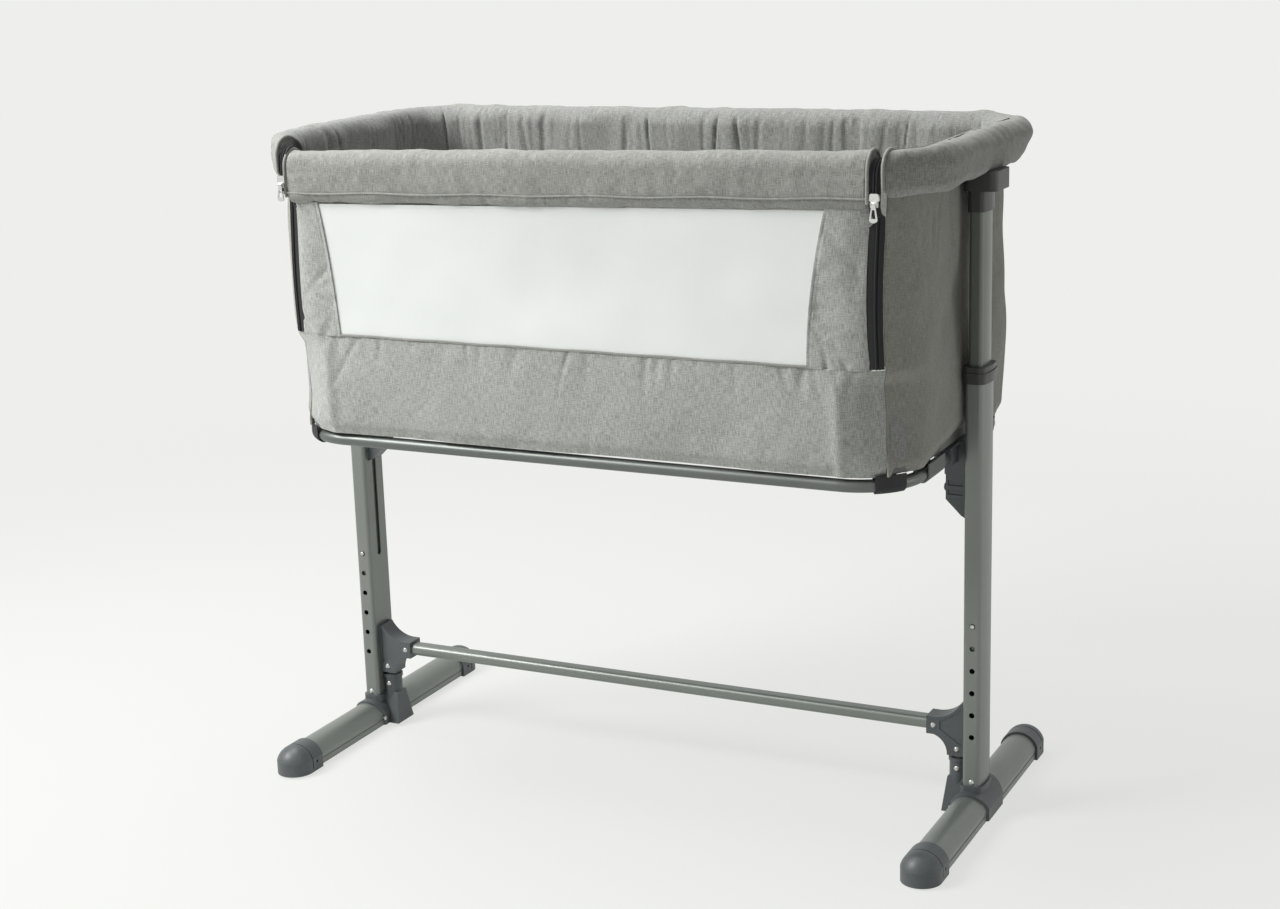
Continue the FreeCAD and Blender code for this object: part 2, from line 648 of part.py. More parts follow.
mesh = mesh.cut(box(-window_low + 1, window_low - 1, front_y - 5, front_y + 5, sill_z - 1, sill_z + window_hem))


# ---------------------------------------------------------------- zips
def zip_path(x0, x1, z_low):
    """A flat strip that follows the front of the padded rim and then hangs straight down."""
    side_z = drop_low_z + drop_sag
    curved = drop_face(-zip_sunk).cut(drop_face(-zip_sunk - zip_t))
    keep = box(0, rim_w, -1, 1, 0, above_all).fuse(box(-6, rim_w, -1, 1, 0, side_z))
    curved = front_part(drop_loop(curved.common(keep)), x0, x1).cut(tub_prism(0, 0, side_z - 4.0))
    straight = tub_prism(-zip_t, z_low, drop_low_z + 4.0).cut(tub_prism(0, z_low - 1, drop_low_z + 5.0))
    return joined([curved, front_part(straight, x0, x1)])


zip_fixed = zip_path(zip_mid + run / 2.0, seam_front - run, band_top_z + 2.0)
zip_moving = zip_path(drop_end + run, zip_mid - run / 2.0, band_top_z + 2.0)

reach_x = zip_mid - slider_w / 2.0 - rim_x + rim_corner
slider_front = -rim_y + rim_corner - math.sqrt((rim_corner + drop_w / 2.0 - zip_sunk) ** 2 - reach_x ** 2) - run
reach_x = zip_mid - slider_w / 2.0 - tub_x + tub_corner
slide_end_y = -tub_y + tub_corner - math.sqrt((tub_corner + zip_t) ** 2 - reach_x ** 2) - 2 * run
lean = (slide_end_y - slider_front) / (slider_low_z - slide_end_z)
slider = round_box(zip_mid - slider_w / 2.0, zip_mid + slider_w / 2.0, slider_front - slider_t, slider_front,
                   slider_low_z, slider_low_z + slider_h, 2.5, V(0, 1, 0))
back_top = slider_low_z + slider_h + 1.0
slider = slider.cut(prism([V(zip_mid - slider_w, slider_front, slider_low_z), V(zip_mid - slider_w, slider_front + 2, slider_low_z),
                           V(zip_mid - slider_w, slider_front + 2, back_top),
                           V(zip_mid - slider_w, slider_front - lean * (slider_h + 1.0), back_top)],
                          V(2 * slider_w, 0, 0)))
print("slide", round(lean, 5), "pin", round(slider_front - slider_t - 2.2, 3))
waist = Part.makeCylinder(5.0, slider_t + 2, V(zip_mid + slider_w / 2.0 + 3.4, slider_front - slider_t - 1, slider_low_z + 4.0),
                          V(0, 1, 0))
slider = slider.cut(waist)
waist.translate(V(-slider_w - 6.8, 0, 0))
slider = slider.cut(waist)
pin_y = slider_front - slider_t - 2.2
pin_z = slider_low_z + 5.0
for side in (-1, 1):
    ear_x = zip_mid + side * 2.4
    ear = box(min(ear_x, ear_x + side), max(ear_x, ear_x + side), pin_y - 1.6, slider_front - slider_t + 0.5,
              pin_z - 1.6, pin_z + 1.6)
    slider = slider.fuse(ear)
slider = slider.fuse(Part.makeCylinder(0.8, 5.0, V(zip_mid - 2.5, pin_y, pin_z), V(1, 0, 0))).removeSplitter()

eye = Part.makeCylinder(1.9, 3.6, V(zip_mid - 1.8, pin_y, pin_z), V(1, 0, 0))
plate_y = pin_y - tab_t / 2.0
plate_top = pin_z
plate_low = pin_z - tab_len
tab = prism([V(zip_mid - 1.8, plate_y, plate_top), V(zip_mid + 1.8, plate_y, plate_top),
             V(zip_mid + tab_top_w / 2.0, plate_y, plate_top - 4.0),
             V(zip_mid + tab_low_w / 2.0, plate_y, plate_low + 2.0),
             (V(zip_mid, plate_y, plate_low - 1.0), V(zip_mid - tab_low_w / 2.0, plate_y, plate_low + 2.0)),
             V(zip_mid - tab_top_w / 2.0, plate_y, plate_top - 4.0)], V(0, tab_t, 0))
tab = tab.fuse(eye).cut(Part.makeCylinder(1.1, 6.0, V(zip_mid - 3.0, pin_y, pin_z), V(1, 0, 0)))
opening = prism([V(zip_mid - 1.5, plate_y - 1, plate_top - 7.0), V(zip_mid + 1.5, plate_y - 1, plate_top - 7.0),
                 V(zip_mid + 2.8, plate_y - 1, plate_low + 4.0), V(zip_mid - 2.8, plate_y - 1, plate_low + 4.0)],
                V(0, tab_t + 2, 0))
tab = tab.cut(opening).removeSplitter()


# ---------------------------------------------------------------- fabric tub
reach = box(seam_front, tub_x + 1, -tub_y - 1, tub_y + 1, hem_z - 1, panel_top + 1)
reach = reach.fuse(box(seam_back, seam_front, 0, tub_y + 1, hem_z - 1, panel_top + 1))
end_panel = wall.common(reach)
hem_half = tub_y - tub_corner + 5.0
hem_r = (hem_half ** 2 + hem_rise ** 2) / (2.0 * hem_rise)
hem_cut = Part.makeCylinder(hem_r, tub_corner + 10, V(tub_x - 20.0, 0, hem_z + hem_rise - hem_r), V(1, 0, 0))
end_panel = end_panel.cut(hem_cut).cut(rim_room).removeSplitter()

front_band = wall.common(box(-seam_front + run, seam_front - run, -tub_y - 1, 0, hem_z, band_top_z))

half_back = seam_back - run
step = half_back / pleats
near = []
for n in range(2 * pleats):
    x_start = -half_back + n * step
    swing = pleat_deep if n % 2 else -pleat_deep
    near.append((x_start, x_start + step / 2.0, x_start + step, swing))
y_in = tub_y - cloth + pleat_deep
y_out = tub_y + pleat_deep
edges = []
for x_a, x_b, x_c, swing in near:
    edges.append(Part.Arc(V(x_a, y_in, hem_z), V(x_b, y_in + swing, hem_z), V(x_c, y_in, hem_z)).toShape())
edges.append(Part.makeLine(V(half_back, y_in, hem_z), V(half_back, y_out, hem_z)))
for x_a, x_b, x_c, swing in reversed(near):
    edges.append(Part.Arc(V(x_c, y_out, hem_z), V(x_b, y_out + swing, hem_z), V(x_a, y_out, hem_z)).toShape())
edges.append(Part.makeLine(V(-half_back, y_out, hem_z), V(-half_back, y_in, hem_z)))
back_panel = Part.Face(Part.Wire(edges)).extrude(V(0, 0, panel_top - hem_z)).cut(rim_room)

tub_floor = tub_prism(cloth + seat, floor_z, floor_z + 2.0)
board_z = floor_z + 2.0 + seat
board = round_box(-tub_x + 12, tub_x - 12, -tub_y + 12, tub_y - 12, board_z, board_z + board_t, tub_corner - 6, V(0, 0, 1))

bed_z = board_z + board_t + seat


def bed_outline(shrink, z):
    """Rounded rectangle whose long sides draw in slightly at the middle."""
    x = tub_x - 14 - shrink
    y = tub_y - 14 - shrink
    c = tub_corner - 14.0
    k = c * (1 - math.sqrt(0.5))
    draw = 3.0
    points = [
        V(-x + c, -y, z), (V(0, -y + draw, z), V(x - c, -y, z)), (V(x - k, -y + k, z), V(x, -y + c, z)),
        (V(x - draw / 2, 0, z), V(x, y - c, z)), (V(x - k, y - k, z), V(x - c, y, z)),
        (V(0, y - draw, z), V(-x + c, y, z)), (V(-x + k, y - k, z), V(-x, y - c, z)),
        (V(-x + draw / 2, 0, z), V(-x, -y + c, z)), (V(-x + k, -y + k, z), V(-x + c, -y, z))]
    edges = []
    last = points[0]
    for through, end in points[1:]:
        edges.append(Part.Arc(last, through, end).toShape())
        last = end
    return Part.Wire(edges)


mattress = Part.makeLoft([bed_outline(4.0, bed_z), bed_outline(0.0, bed_z + mattress_h * 0.35),
                          bed_outline(0.0, bed_z + mattress_h * 0.65), bed_outline(8.0, bed_z + mattress_h),
                          bed_outline(40.0, bed_z + mattress_h + mattress_crown)], True, True)

# ---------------------------------------------------------------- lower ring, its clamps, brackets and straps
ring_face = tube_section(ring_r)
ring_face.translate(V(0, 0, ring_z))
ring = round_loop(ring_face, ring_x, ring_y, ring_corner, True)
butt = box(-ring_butt / 2.0, ring_butt / 2.0, 0, 2 * ring_y, 0, above_all)   # where the bent tube's ends meet
ring = ring.cut(butt)

plate_in = ring_x + ring_r + 1.0
clamp = round_box(ring_x - ring_r - 3.0, plate_in, -clamp_len, clamp_len, ring_z - ring_r - 3.5, ring_z + ring_r + 3.5,
                  3.0, V(0, 1, 0))
for side in (-1, 1):
    collar = Part.makeCylinder(ring_r + 3.6, 8.0, V(ring_x, side * clamp_len - 4.0, ring_z), V(0, 1, 0))
    clamp = clamp.fuse(collar)
clamp = clamp.common(box(0, post_in_x - 2.0, -ring_y, ring_y, 0, above_all))
clamp = clamp.cut(Part.makeCylinder(ring_r + 0.05, 4 * clamp_len, V(ring_x, -2 * clamp_len, ring_z), V(0, 1, 0)))
clamp = clamp.removeSplitter()

face_x = post_in_x - run
lug_half = 16.0
bracket = prism([V(ring_x - 8.0, -13.0, bracket_step_z), V(face_x, -13.0, bracket_step_z),
                 V(face_x, -13.0, bracket_low_z), V(face_x - 7.0, -13.0, bracket_low_z + 4.0),
                 V(ring_x - 8.0, -13.0, bracket_low_z + 24.0)], V(0, 26.0, 0))
lug = prism([V(plate_in, -lug_half, bracket_step_z - 4.0), V(plate_in, lug_half, bracket_step_z - 4.0),
             V(plate_in, lug_half, bracket_top_z - lug_half),
             (V(plate_in, 0, bracket_top_z), V(plate_in, -lug_half, bracket_top_z - lug_half))], V(face_x - plate_in, 0, 0))
shelf = round_box(ring_x - 9.5, face_x, -15.0, 15.0, bracket_step_z - 4.0, ring_z - ring_r - 3.5, 2.0, V(0, 0, 1))
key = round_box(face_x - 1.0, post_x - 4.0, -key_w / 2.0, key_w / 2.0, key_z - key_h / 2.0, key_z + key_h / 2.0,
                key_w / 2.0 - 0.01, V(1, 0, 0))
bracket = bracket.fuse(lug).fuse(shelf).fuse(key)
for gap_z in (bracket_low_z + 30.0, bracket_low_z + 42.0):
    for side in (-1, 1):
        rib = box(ring_x - 5.0, face_x - 5.0, side * 13.0 - 1.5, side * 13.0 + 1.5, gap_z, gap_z + 7.0)
        bracket = bracket.cut(rib)
knob_z = bracket_low_z + 37.0
knob = Part.makeCylinder(6.0, 5.0, V(ring_x - 8.0, 0, knob_z), V(-1, 0, 0))
knob = knob.makeChamfer(1.5, [e for e in knob.Edges if e.BoundBox.XMax < ring_x - 12.9 and len(e.Vertexes) == 1])
knob = knob.fuse(Part.makeCylinder(3.0, 11.0, V(ring_x - 9.0, 0, knob_z), V(1, 0, 0)))
bracket = bracket.cut(Part.makeCylinder(3.0 + fit, 10.2, V(ring_x - 8.0, 0, knob_z), V(1, 0, 0))).removeSplitter()


def loop_strap(width, grow, thick):
    """A webbing loop hung under the tub's floor and round the ring, running along Y."""
    outer_r = ring_r + grow + thick
    outside = Part.makeCylinder(outer_r, width, V(0, -width / 2.0, ring_z), V(0, 1, 0))
    outside = outside.fuse(box(-outer_r, outer_r, -width / 2.0, width / 2.0, ring_z, floor_z - seat))
    inside = Part.makeCylinder(ring_r + grow, width + 2, V(0, -width / 2.0 - 1, ring_z), V(0, 1, 0))
    inside = inside.fuse(box(-ring_r - grow, ring_r + grow, -width / 2.0 - 1, width / 2.0 + 1,
                             ring_z, floor_z - seat - thick))
    return outside.cut(inside).removeSplitter()


strap_w = 36.0
strap_room = ring_corner - math.sqrt(ring_corner ** 2 - (strap_w / 2.0) ** 2) + run
strap = loop_strap(strap_w, strap_room, 1.6)
strap.rotate(V(0, 0, 0), V(0, 0, 1), -45)
bend_at = ring_corner * math.sqrt(0.5)
strap.translate(V(ring_x - ring_corner + bend_at, -ring_y + ring_corner - bend_at, 0))
tab_y = -ring_y + ring_corner + 31.0
tab_strap = loop_strap(60.0, run, 2.0)
tab_strap.translate(V(ring_x, tab_y, 0))
snap_x = ring_x - ring_r - run - 2.0
snap = Part.makeCylinder(5.0, 1.6, V(snap_x, tab_y, ring_z + 6.0), V(-1, 0, 0))

# ---------------------------------------------------------------- write every piece
pairs = {
    "foot_tube": foot_tube, "outer_post": post, "post_saddle": saddle, "gusset": gusset,
    "inner_post": inner, "snap_clip": clip, "post_cap": cap, "slot_bracket": bracket, "end_panel": end_panel,
    "zip_slider": slider, "pull_tab": tab,
}
twins = {
    "stub_tubes": stub, "stub_sockets": socket, "post_bushes": bush, "inner_glides": glide, "leaf_holders": holder,
    "ring_clamps": clamp, "drop_strips": strip, "zip_tapes": zip_fixed, "drop_zips": zip_moving,
    "bracket_knobs": knob, "rim_piping": rim_piping, "rim_end_plugs": end_plug, "drop_bar_plugs": bar_plug,
    "drop_piping": drop_trim,
}
fours = {"foot_pads": pad, "ring_straps": strap, "ring_tabs": tab_strap, "tab_snaps": snap}
for name, shape in pairs.items():
    save(name + "_right", shape)
    save(name + "_left", mirror_x(shape))
nose_back = nose
nose_front = mirror_y(nose)
save("nose_back_right", nose_back)
save("nose_back_left", mirror_x(nose_back))
save("nose_front_right", nose_front)
save("nose_front_left", mirror_x(nose_front))


def both(shape):
    return [shape, mirror_x(shape)]


def four(shape):
    return both(shape) + both(mirror_y(shape))


for name, shape in twins.items():
    save(name, Part.makeCompound(both(shape)))
for name, shape in fours.items():
    save(name, Part.makeCompound(four(shape)))
save("base_screws", Part.makeCompound([piece for one in screws for piece in both(one)]))
save("crossbar", crossbar)
save("lower_ring", ring)
save("rim_tube", rim_tube)
save("rim_cover", rim_cover)
save("front_band", front_band)
save("back_panel", back_panel)
save("tub_floor", tub_floor)
save("base_board", board)
save("mattress", mattress)
save("drop_bar", bar_front)
save("drop_cover", drop_cover)
save("mesh_window", mesh)
save("window_hem", hem_bar)
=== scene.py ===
# %% [markdown]
# # A bedside sleeper crib
# A fabric tub with a padded rim hangs between two telescoping posts. The hard parts come from
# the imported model, which is loaded here as a fixed frame. What is soft is made below, because
# cloth needs folds, seams and a weave that a plain solid doesn't have.

# %% Load the frame
import math

import bmesh
import bpy
import numpy as np
from mathutils import Matrix


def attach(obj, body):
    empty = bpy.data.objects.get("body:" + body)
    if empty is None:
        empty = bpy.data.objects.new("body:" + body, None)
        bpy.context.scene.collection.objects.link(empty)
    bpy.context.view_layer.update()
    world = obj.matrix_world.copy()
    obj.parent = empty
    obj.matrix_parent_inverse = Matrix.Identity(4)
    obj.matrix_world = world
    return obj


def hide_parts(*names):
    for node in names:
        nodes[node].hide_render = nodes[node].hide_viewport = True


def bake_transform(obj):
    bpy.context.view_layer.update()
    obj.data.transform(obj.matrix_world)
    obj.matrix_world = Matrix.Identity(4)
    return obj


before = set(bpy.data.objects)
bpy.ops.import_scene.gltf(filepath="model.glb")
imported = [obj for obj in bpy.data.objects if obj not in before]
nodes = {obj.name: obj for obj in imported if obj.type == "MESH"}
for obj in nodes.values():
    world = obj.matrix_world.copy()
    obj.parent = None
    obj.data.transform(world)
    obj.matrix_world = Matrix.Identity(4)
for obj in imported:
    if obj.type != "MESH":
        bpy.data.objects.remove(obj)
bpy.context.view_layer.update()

# %% [markdown]
# ## The sizes of the crib
# Everything soft follows two rounded rectangles seen from above: the line of the padded rim and
# the line of the tub's wall. Both are kept here in metres, with the heights of the seams.

# %% Sizes shared by the soft pieces
RIM = (0.456, 0.213, 0.080)        # half length, half depth, corner radius of the rim's middle line
TUB = (0.440, 0.222, 0.080)        # the same for the outside of the tub's wall
RING = (0.426, 0.208, 0.076)       # the same for the lower ring
RING_Z, RING_R = 0.4855, 0.008
RIM_ROLL = (0.044, 0.832, 0.887, 0.014)     # width, underside, top and sag of the fixed rim's roll
DROP_ROLL = (0.040, 0.806, 0.875, 0.015)    # the same for the drop side's roll
ZIP_ROLL = (0.038, 0.807, 0.874, 0.014)     # the same for the roll that the zips run over
RIM_DIP = 0.0035                   # the fixed rim lies this much lower beside the zips
CLOTH = 0.0022                     # how thick the tub's cloth is
HEM_Z, HEM_RISE = 0.498, 0.019
BAND_TOP, SILL_Z = 0.628, 0.630
SEAM_FRONT, DROP_END = 0.411, 0.398
SEAM_BACK = 0.358
ZIP_MID = (SEAM_FRONT + DROP_END) / 2
FLOOR_Z = 0.500
DROP_TILT = 0.0078                 # the padded drop side lies this much higher at its right end


def around(s, shape, out=0.0):
    """A rounded rectangle seen from above, as x, y and the outward direction at a distance s.

    s runs along the middle line from the middle of the front, to the right for positive s and to
    the left for negative s, up to the middle of the back. The straight runs and the corners all
    come from one rule: a point of an inner rectangle plus the corner radius in the direction that
    the line faces, which turns only at the corners. out moves the line outwards."""
    half_x, half_y, corner = shape
    a, b, q = half_x - corner, half_y - corner, math.pi / 2 * corner
    marks = np.cumsum([0, a, q, 2 * b, q, a])
    side = np.where(np.asarray(s) < 0, -1.0, 1.0)
    s = np.abs(s)
    core_x = np.interp(s, marks, [0, a, a, a, a, 0])
    core_y = np.interp(s, marks, [-b, -b, -b, b, b, b])
    turn = np.interp(s, marks, np.radians([-90, -90, 0, 0, 90, 90]))
    nx, ny = np.cos(turn), np.sin(turn)
    return side * (core_x + (corner + out) * nx), core_y + (corner + out) * ny, side * nx, ny


def half_way(shape):
    """Distance from the middle of the front to the middle of the back."""
    half_x, half_y, corner = shape
    return 2 * (half_x - corner) + 2 * (half_y - corner) + math.pi * corner


def reach(x, shape, out=0.0):
    """The distance s at which the front of a line, moved outwards by out, comes to a given x."""
    a, corner = shape[0] - shape[2], shape[2]
    turned = np.arcsin(np.clip((x - a) / (corner + out), -1, 1))
    return np.where(x <= a, x, a + corner * turned)


print("rim half way round", round(half_way(RIM), 3), "tub half way round", round(half_way(TUB), 3))

# %% [markdown]
# ## Meshes from grids
# A surface is an array of points, one for each pair of two parameters. Faces between neighbours
# in the array make the mesh, so no point is placed by hand. A cloth is a grid with a second one
# behind it, joined along the edges, which gives it a real thickness.

# %% Grid helpers
def laid(*parts):
    """Coordinates side by side for each point of a grid. A part is a number, row, column or grid."""
    return np.stack(np.broadcast_arrays(*parts), -1)


def grid_faces(rows, columns, wrap=False):
    """Four-sided faces between neighbours of a grid; wrap joins the last column to the first."""
    low = np.arange(rows - 1)[:, None] * columns
    j = np.arange(columns if wrap else columns - 1)[None, :]
    k = (j + 1) % columns
    return laid(low + j, low + k, low + columns + k, low + columns + j).reshape(-1, 4)


def make_piece(name, points, faces, uv, smooth_angle=60.0):
    """A mesh piece from points, faces and a cloth coordinate in metres, with its faces outwards."""
    mesh = bpy.data.meshes.new(name)
    mesh.from_pydata(np.asarray(points, float).tolist(), [], [list(f) for f in faces])
    layer = mesh.uv_layers.new(name="cloth")
    corner = np.empty(len(mesh.loops), np.int32)
    mesh.loops.foreach_get("vertex_index", corner)
    layer.data.foreach_set("uv", np.asarray(uv, np.float32)[corner].ravel())
    work = bmesh.new()
    work.from_mesh(mesh)
    bmesh.ops.recalc_face_normals(work, faces=work.faces)
    work.to_mesh(mesh)
    work.free()
    mesh.shade_smooth()
    mesh.set_sharp_from_angle(angle=math.radians(smooth_angle))
    piece = bpy.data.objects.new(name, mesh)
    bpy.context.scene.collection.objects.link(piece)
    return piece


def facing(grid):
    """The direction that each point of a grid faces: the cross product of its two slopes."""
    normal = np.cross(np.gradient(grid, axis=0), np.gradient(grid, axis=1))
    return normal / np.maximum(np.linalg.norm(normal, axis=-1, keepdims=True), 1e-12)


def cloth_shell(name, grid, uv, thick, inward=1.0):
    """A cloth of even thickness: the grid, a copy moved back along its facing, and four edge strips."""
    rows, columns = grid.shape[:2]
    back = grid - inward * thick * facing(grid)
    points = np.concatenate([grid.reshape(-1, 3), back.reshape(-1, 3)])
    front = grid_faces(rows, columns)
    other = front[:, ::-1] + rows * columns
    index = np.arange(rows * columns).reshape(rows, columns)
    rim = np.concatenate([index[0, :-1], index[:-1, -1], index[-1, :0:-1], index[:0:-1, 0]])
    after = np.roll(rim, -1)
    edge = np.stack([rim, rim + rows * columns, after + rows * columns, after], -1)
    flat = uv.reshape(-1, 2)
    return make_piece(name, points, np.concatenate([front, other, edge]), np.concatenate([flat, flat]))


def closed_roll(name, grid, uv):
    """A roll that is closed round its section and at both ends: the end faces are fans."""
    rows, columns = grid.shape[:2]
    ends = np.stack([grid[0].mean(0), grid[-1].mean(0)])
    points = np.concatenate([grid.reshape(-1, 3), ends])
    flat = np.concatenate([uv.reshape(-1, 2), [uv[0].mean(0), uv[-1].mean(0)]])
    ring = np.arange(columns)
    pairs = list(zip(ring, np.roll(ring, -1)))
    last = (rows - 1) * columns
    fans = [[rows * columns, b, a] for a, b in pairs]
    fans += [[rows * columns + 1, last + a, last + b] for a, b in pairs]
    sides = [list(f) for f in grid_faces(rows, columns, wrap=True)]
    return make_piece(name, points, sides + fans, flat)


# %% [markdown]
# ## What makes cloth look like cloth
# Two fields do most of it. One wanders smoothly, for the soft unevenness of padding. The other
# is a set of creases: narrow valleys that lean a little, start at a seam and fade out.

# %% Fields that disturb a surface
def bell(x, middle, width):
    """1 at the middle, falling off on both sides over about the width."""
    return np.exp(-((x - middle) / width) ** 2)


def wander(points, size, seed):
    """Smooth values from about -1 to 1: a sum of random waves of about the given length."""
    dice = np.random.default_rng(seed)
    ways = dice.normal(size=(20, 3))
    length = np.linalg.norm(ways, axis=1, keepdims=True)
    ways *= (2 * math.pi / size * dice.uniform(0.6, 1.5, (20, 1))) / length
    return np.cos(points @ ways.T + dice.uniform(0, 2 * math.pi, 20)).sum(-1) / 5.5


def creases(along, depth, span, count, seed, width=0.005, length=0.08, lean=0.25):
    """Valleys that start at a seam: each is a bell across its line, and fades as it leaves the seam."""
    dice = np.random.default_rng(seed)
    place = np.sort(dice.uniform(span[0], span[1], count))
    wide = width * dice.uniform(0.6, 1.6, count)
    long = length * dice.uniform(0.4, 1.5, count)
    tilt = lean * dice.uniform(-1, 1, count)
    strong = dice.uniform(0.3, 1.0, count)
    depth = depth[..., None]
    fade = np.exp(-(np.maximum(depth, 0) / long) ** 1.5)
    return (strong * bell(along[..., None] - place - tilt * depth, 0, wide) * fade).sum(-1)


def smooth_step(x, low, high):
    t = np.clip((x - low) / (high - low), 0, 1)
    return t * t * (3 - 2 * t)


def hang(grid, tilt=0.0):
    """The slack of hanging cloth: it leans a little to the left half way up, and its rim lies askew.

    The lean is a bell over the height, strongest towards the ends and none beside the left post. The
    tilt is a slope along x."""
    x, y, z = np.moveaxis(grid, -1, 0)
    half_way_up = bell(z, 0.70, 0.11) * smooth_step(z, HEM_Z, HEM_Z + 0.12)
    clear = 1 - bell(y, 0, 0.07)
    right, left = smooth_step(x, 0.15, 0.42), smooth_step(-x, 0.15, 0.42)
    lean = half_way_up * (0.0062 * right + 0.0055 * left * clear)
    return grid + laid(-lean, 0, tilt * smooth_step(z, 0.70, 0.81) * (x / 0.40 + 0.10))


def cloth_sheet(grid):
    """Works out the cross product of the diagonals of each cell of a sheet; nothing is kept or returned."""
    corner = np.cross(grid[1:, 1:] - grid[:-1, :-1], grid[1:, :-1] - grid[:-1, 1:])


# %% [markdown]
# ## Shader maths as plain expressions
# A node tree for a weave is mostly arithmetic. One small class wraps a socket and lets Python's
# own operators add the Math nodes, so a pattern reads as a formula.

# %% The shader class
class Value:
    """A number that varies over the surface. Adding, scaling and comparing it adds Math nodes."""

    def __init__(self, tree, socket):
        self.tree, self.socket = tree, socket

    def maths(self, operation, *others):
        node = self.tree.nodes.new("ShaderNodeMath")
        node.operation = operation
        for slot, item in zip(node.inputs, (self,) + others):
            if isinstance(item, Value):
                self.tree.links.new(item.socket, slot)
            else:
                slot.default_value = item
        return Value(self.tree, node.outputs[0])

    def __add__(self, other):
        return self.maths("ADD", other)

    def __sub__(self, other):
        return self.maths("SUBTRACT", other)

    def __mul__(self, other):
        return self.maths("MULTIPLY", other)

    def __truediv__(self, other):
        return self.maths("DIVIDE", other)

    def __rsub__(self, other):
        return self.maths("MULTIPLY_ADD", -1.0, other)

    __radd__, __rmul__ = __add__, __mul__

    def sine(self):
        return self.maths("SINE")

    def clamp(self, low=0.0, high=1.0):
        return self.maths("MAXIMUM", low).maths("MINIMUM", high)

    def step(self, low, high):
        """0 below low, 1 above high, smooth between."""
        t = ((self - low) / (high - low)).clamp()
        return t * t * (3.0 - t * 2.0)


class Finish:
    """A material under construction: one Principled shader and the nodes that feed it."""

    def __init__(self, name, **constants):
        self.material = bpy.data.materials.new(name)
        self.material.use_nodes = True
        self.tree = self.material.node_tree
        self.shader = self.tree.nodes["Principled BSDF"]
        for key, value in constants.items():
            self.shader.inputs[key.replace("_", " ")].default_value = value

    def node(self, kind, **inputs):
        """Any node by its type, with values or links for its sockets."""
        made = self.tree.nodes.new(kind)
        for key, value in inputs.items():
            self.feed(made.inputs[key.replace("_", " ")], value)
        return made

    def feed(self, socket, value):
        if isinstance(value, Value):
            self.tree.links.new(value.socket, socket)
        elif isinstance(value, bpy.types.NodeSocket):
            self.tree.links.new(value, socket)
        else:
            socket.default_value = value

    def set(self, socket, value):
        self.feed(self.shader.inputs[socket], value)

    def place(self, cloth=False):
        """Where we are on the piece: the cloth coordinate, or the object's own metres."""
        coordinate = self.node("ShaderNodeTexCoord")
        return coordinate.outputs["UV" if cloth else "Object"]

    def split(self, vector):
        parts = self.node("ShaderNodeSeparateXYZ", Vector=vector)
        return [Value(self.tree, parts.outputs[i]) for i in range(3)]

    def stretch(self, vector, x, y, z=1.0):
        mapping = self.node("ShaderNodeMapping", Vector=vector)
        mapping.inputs["Scale"].default_value = (x, y, z)
        return mapping.outputs[0]

    def noise(self, vector, scale, detail=2.0, rough=0.5):
        made = self.node("ShaderNodeTexNoise", Vector=vector, Scale=scale, Detail=detail, Roughness=rough)
        return Value(self.tree, made.outputs["Fac"])

    def mix(self, amount, first, second):
        """A colour between two colours."""
        made = self.tree.nodes.new("ShaderNodeMix")
        made.data_type = "RGBA"
        self.feed(made.inputs["Factor"], amount)
        for socket, colour in ((made.inputs[6], first), (made.inputs[7], second)):
            self.feed(socket, colour if isinstance(colour, bpy.types.NodeSocket) else (*colour, 1.0))
        return made.outputs[2]

    def bump(self, height, distance, strength=1.0, under=None):
        made = self.node("ShaderNodeBump", Height=height, Distance=distance, Strength=strength)
        if under is not None:
            self.feed(made.inputs["Normal"], under)
        return made.outputs["Normal"]


def dress(material, *names):
    """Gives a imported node, or a new piece, one finish."""
    for name in names:
        thing = nodes[name] if isinstance(name, str) else name
        if not thing.material_slots:
            thing.data.materials.append(material)
        for slot in thing.material_slots:
            slot.material = material


def fit(piece, finish, node=None, body="bassinet"):
    """Gives a piece its finish and slot, hides the node it stands for, and attaches it to the body that it moves
    with.

    Without a body the piece is attached to nothing; its place is baked into its points."""
    dress(finish, piece)
    if node:
        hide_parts(node)
    if body:
        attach(piece, body)
    else:
        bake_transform(piece)


# %% [markdown]
# ## The heather cloth
# The tub is sewn from a two-tone linen-look polyester: pale threads with darker slubs running
# both ways. Noise stretched along each thread direction gives the slubs, and a product of two
# sines at the thread pitch gives the little squares of the weave.

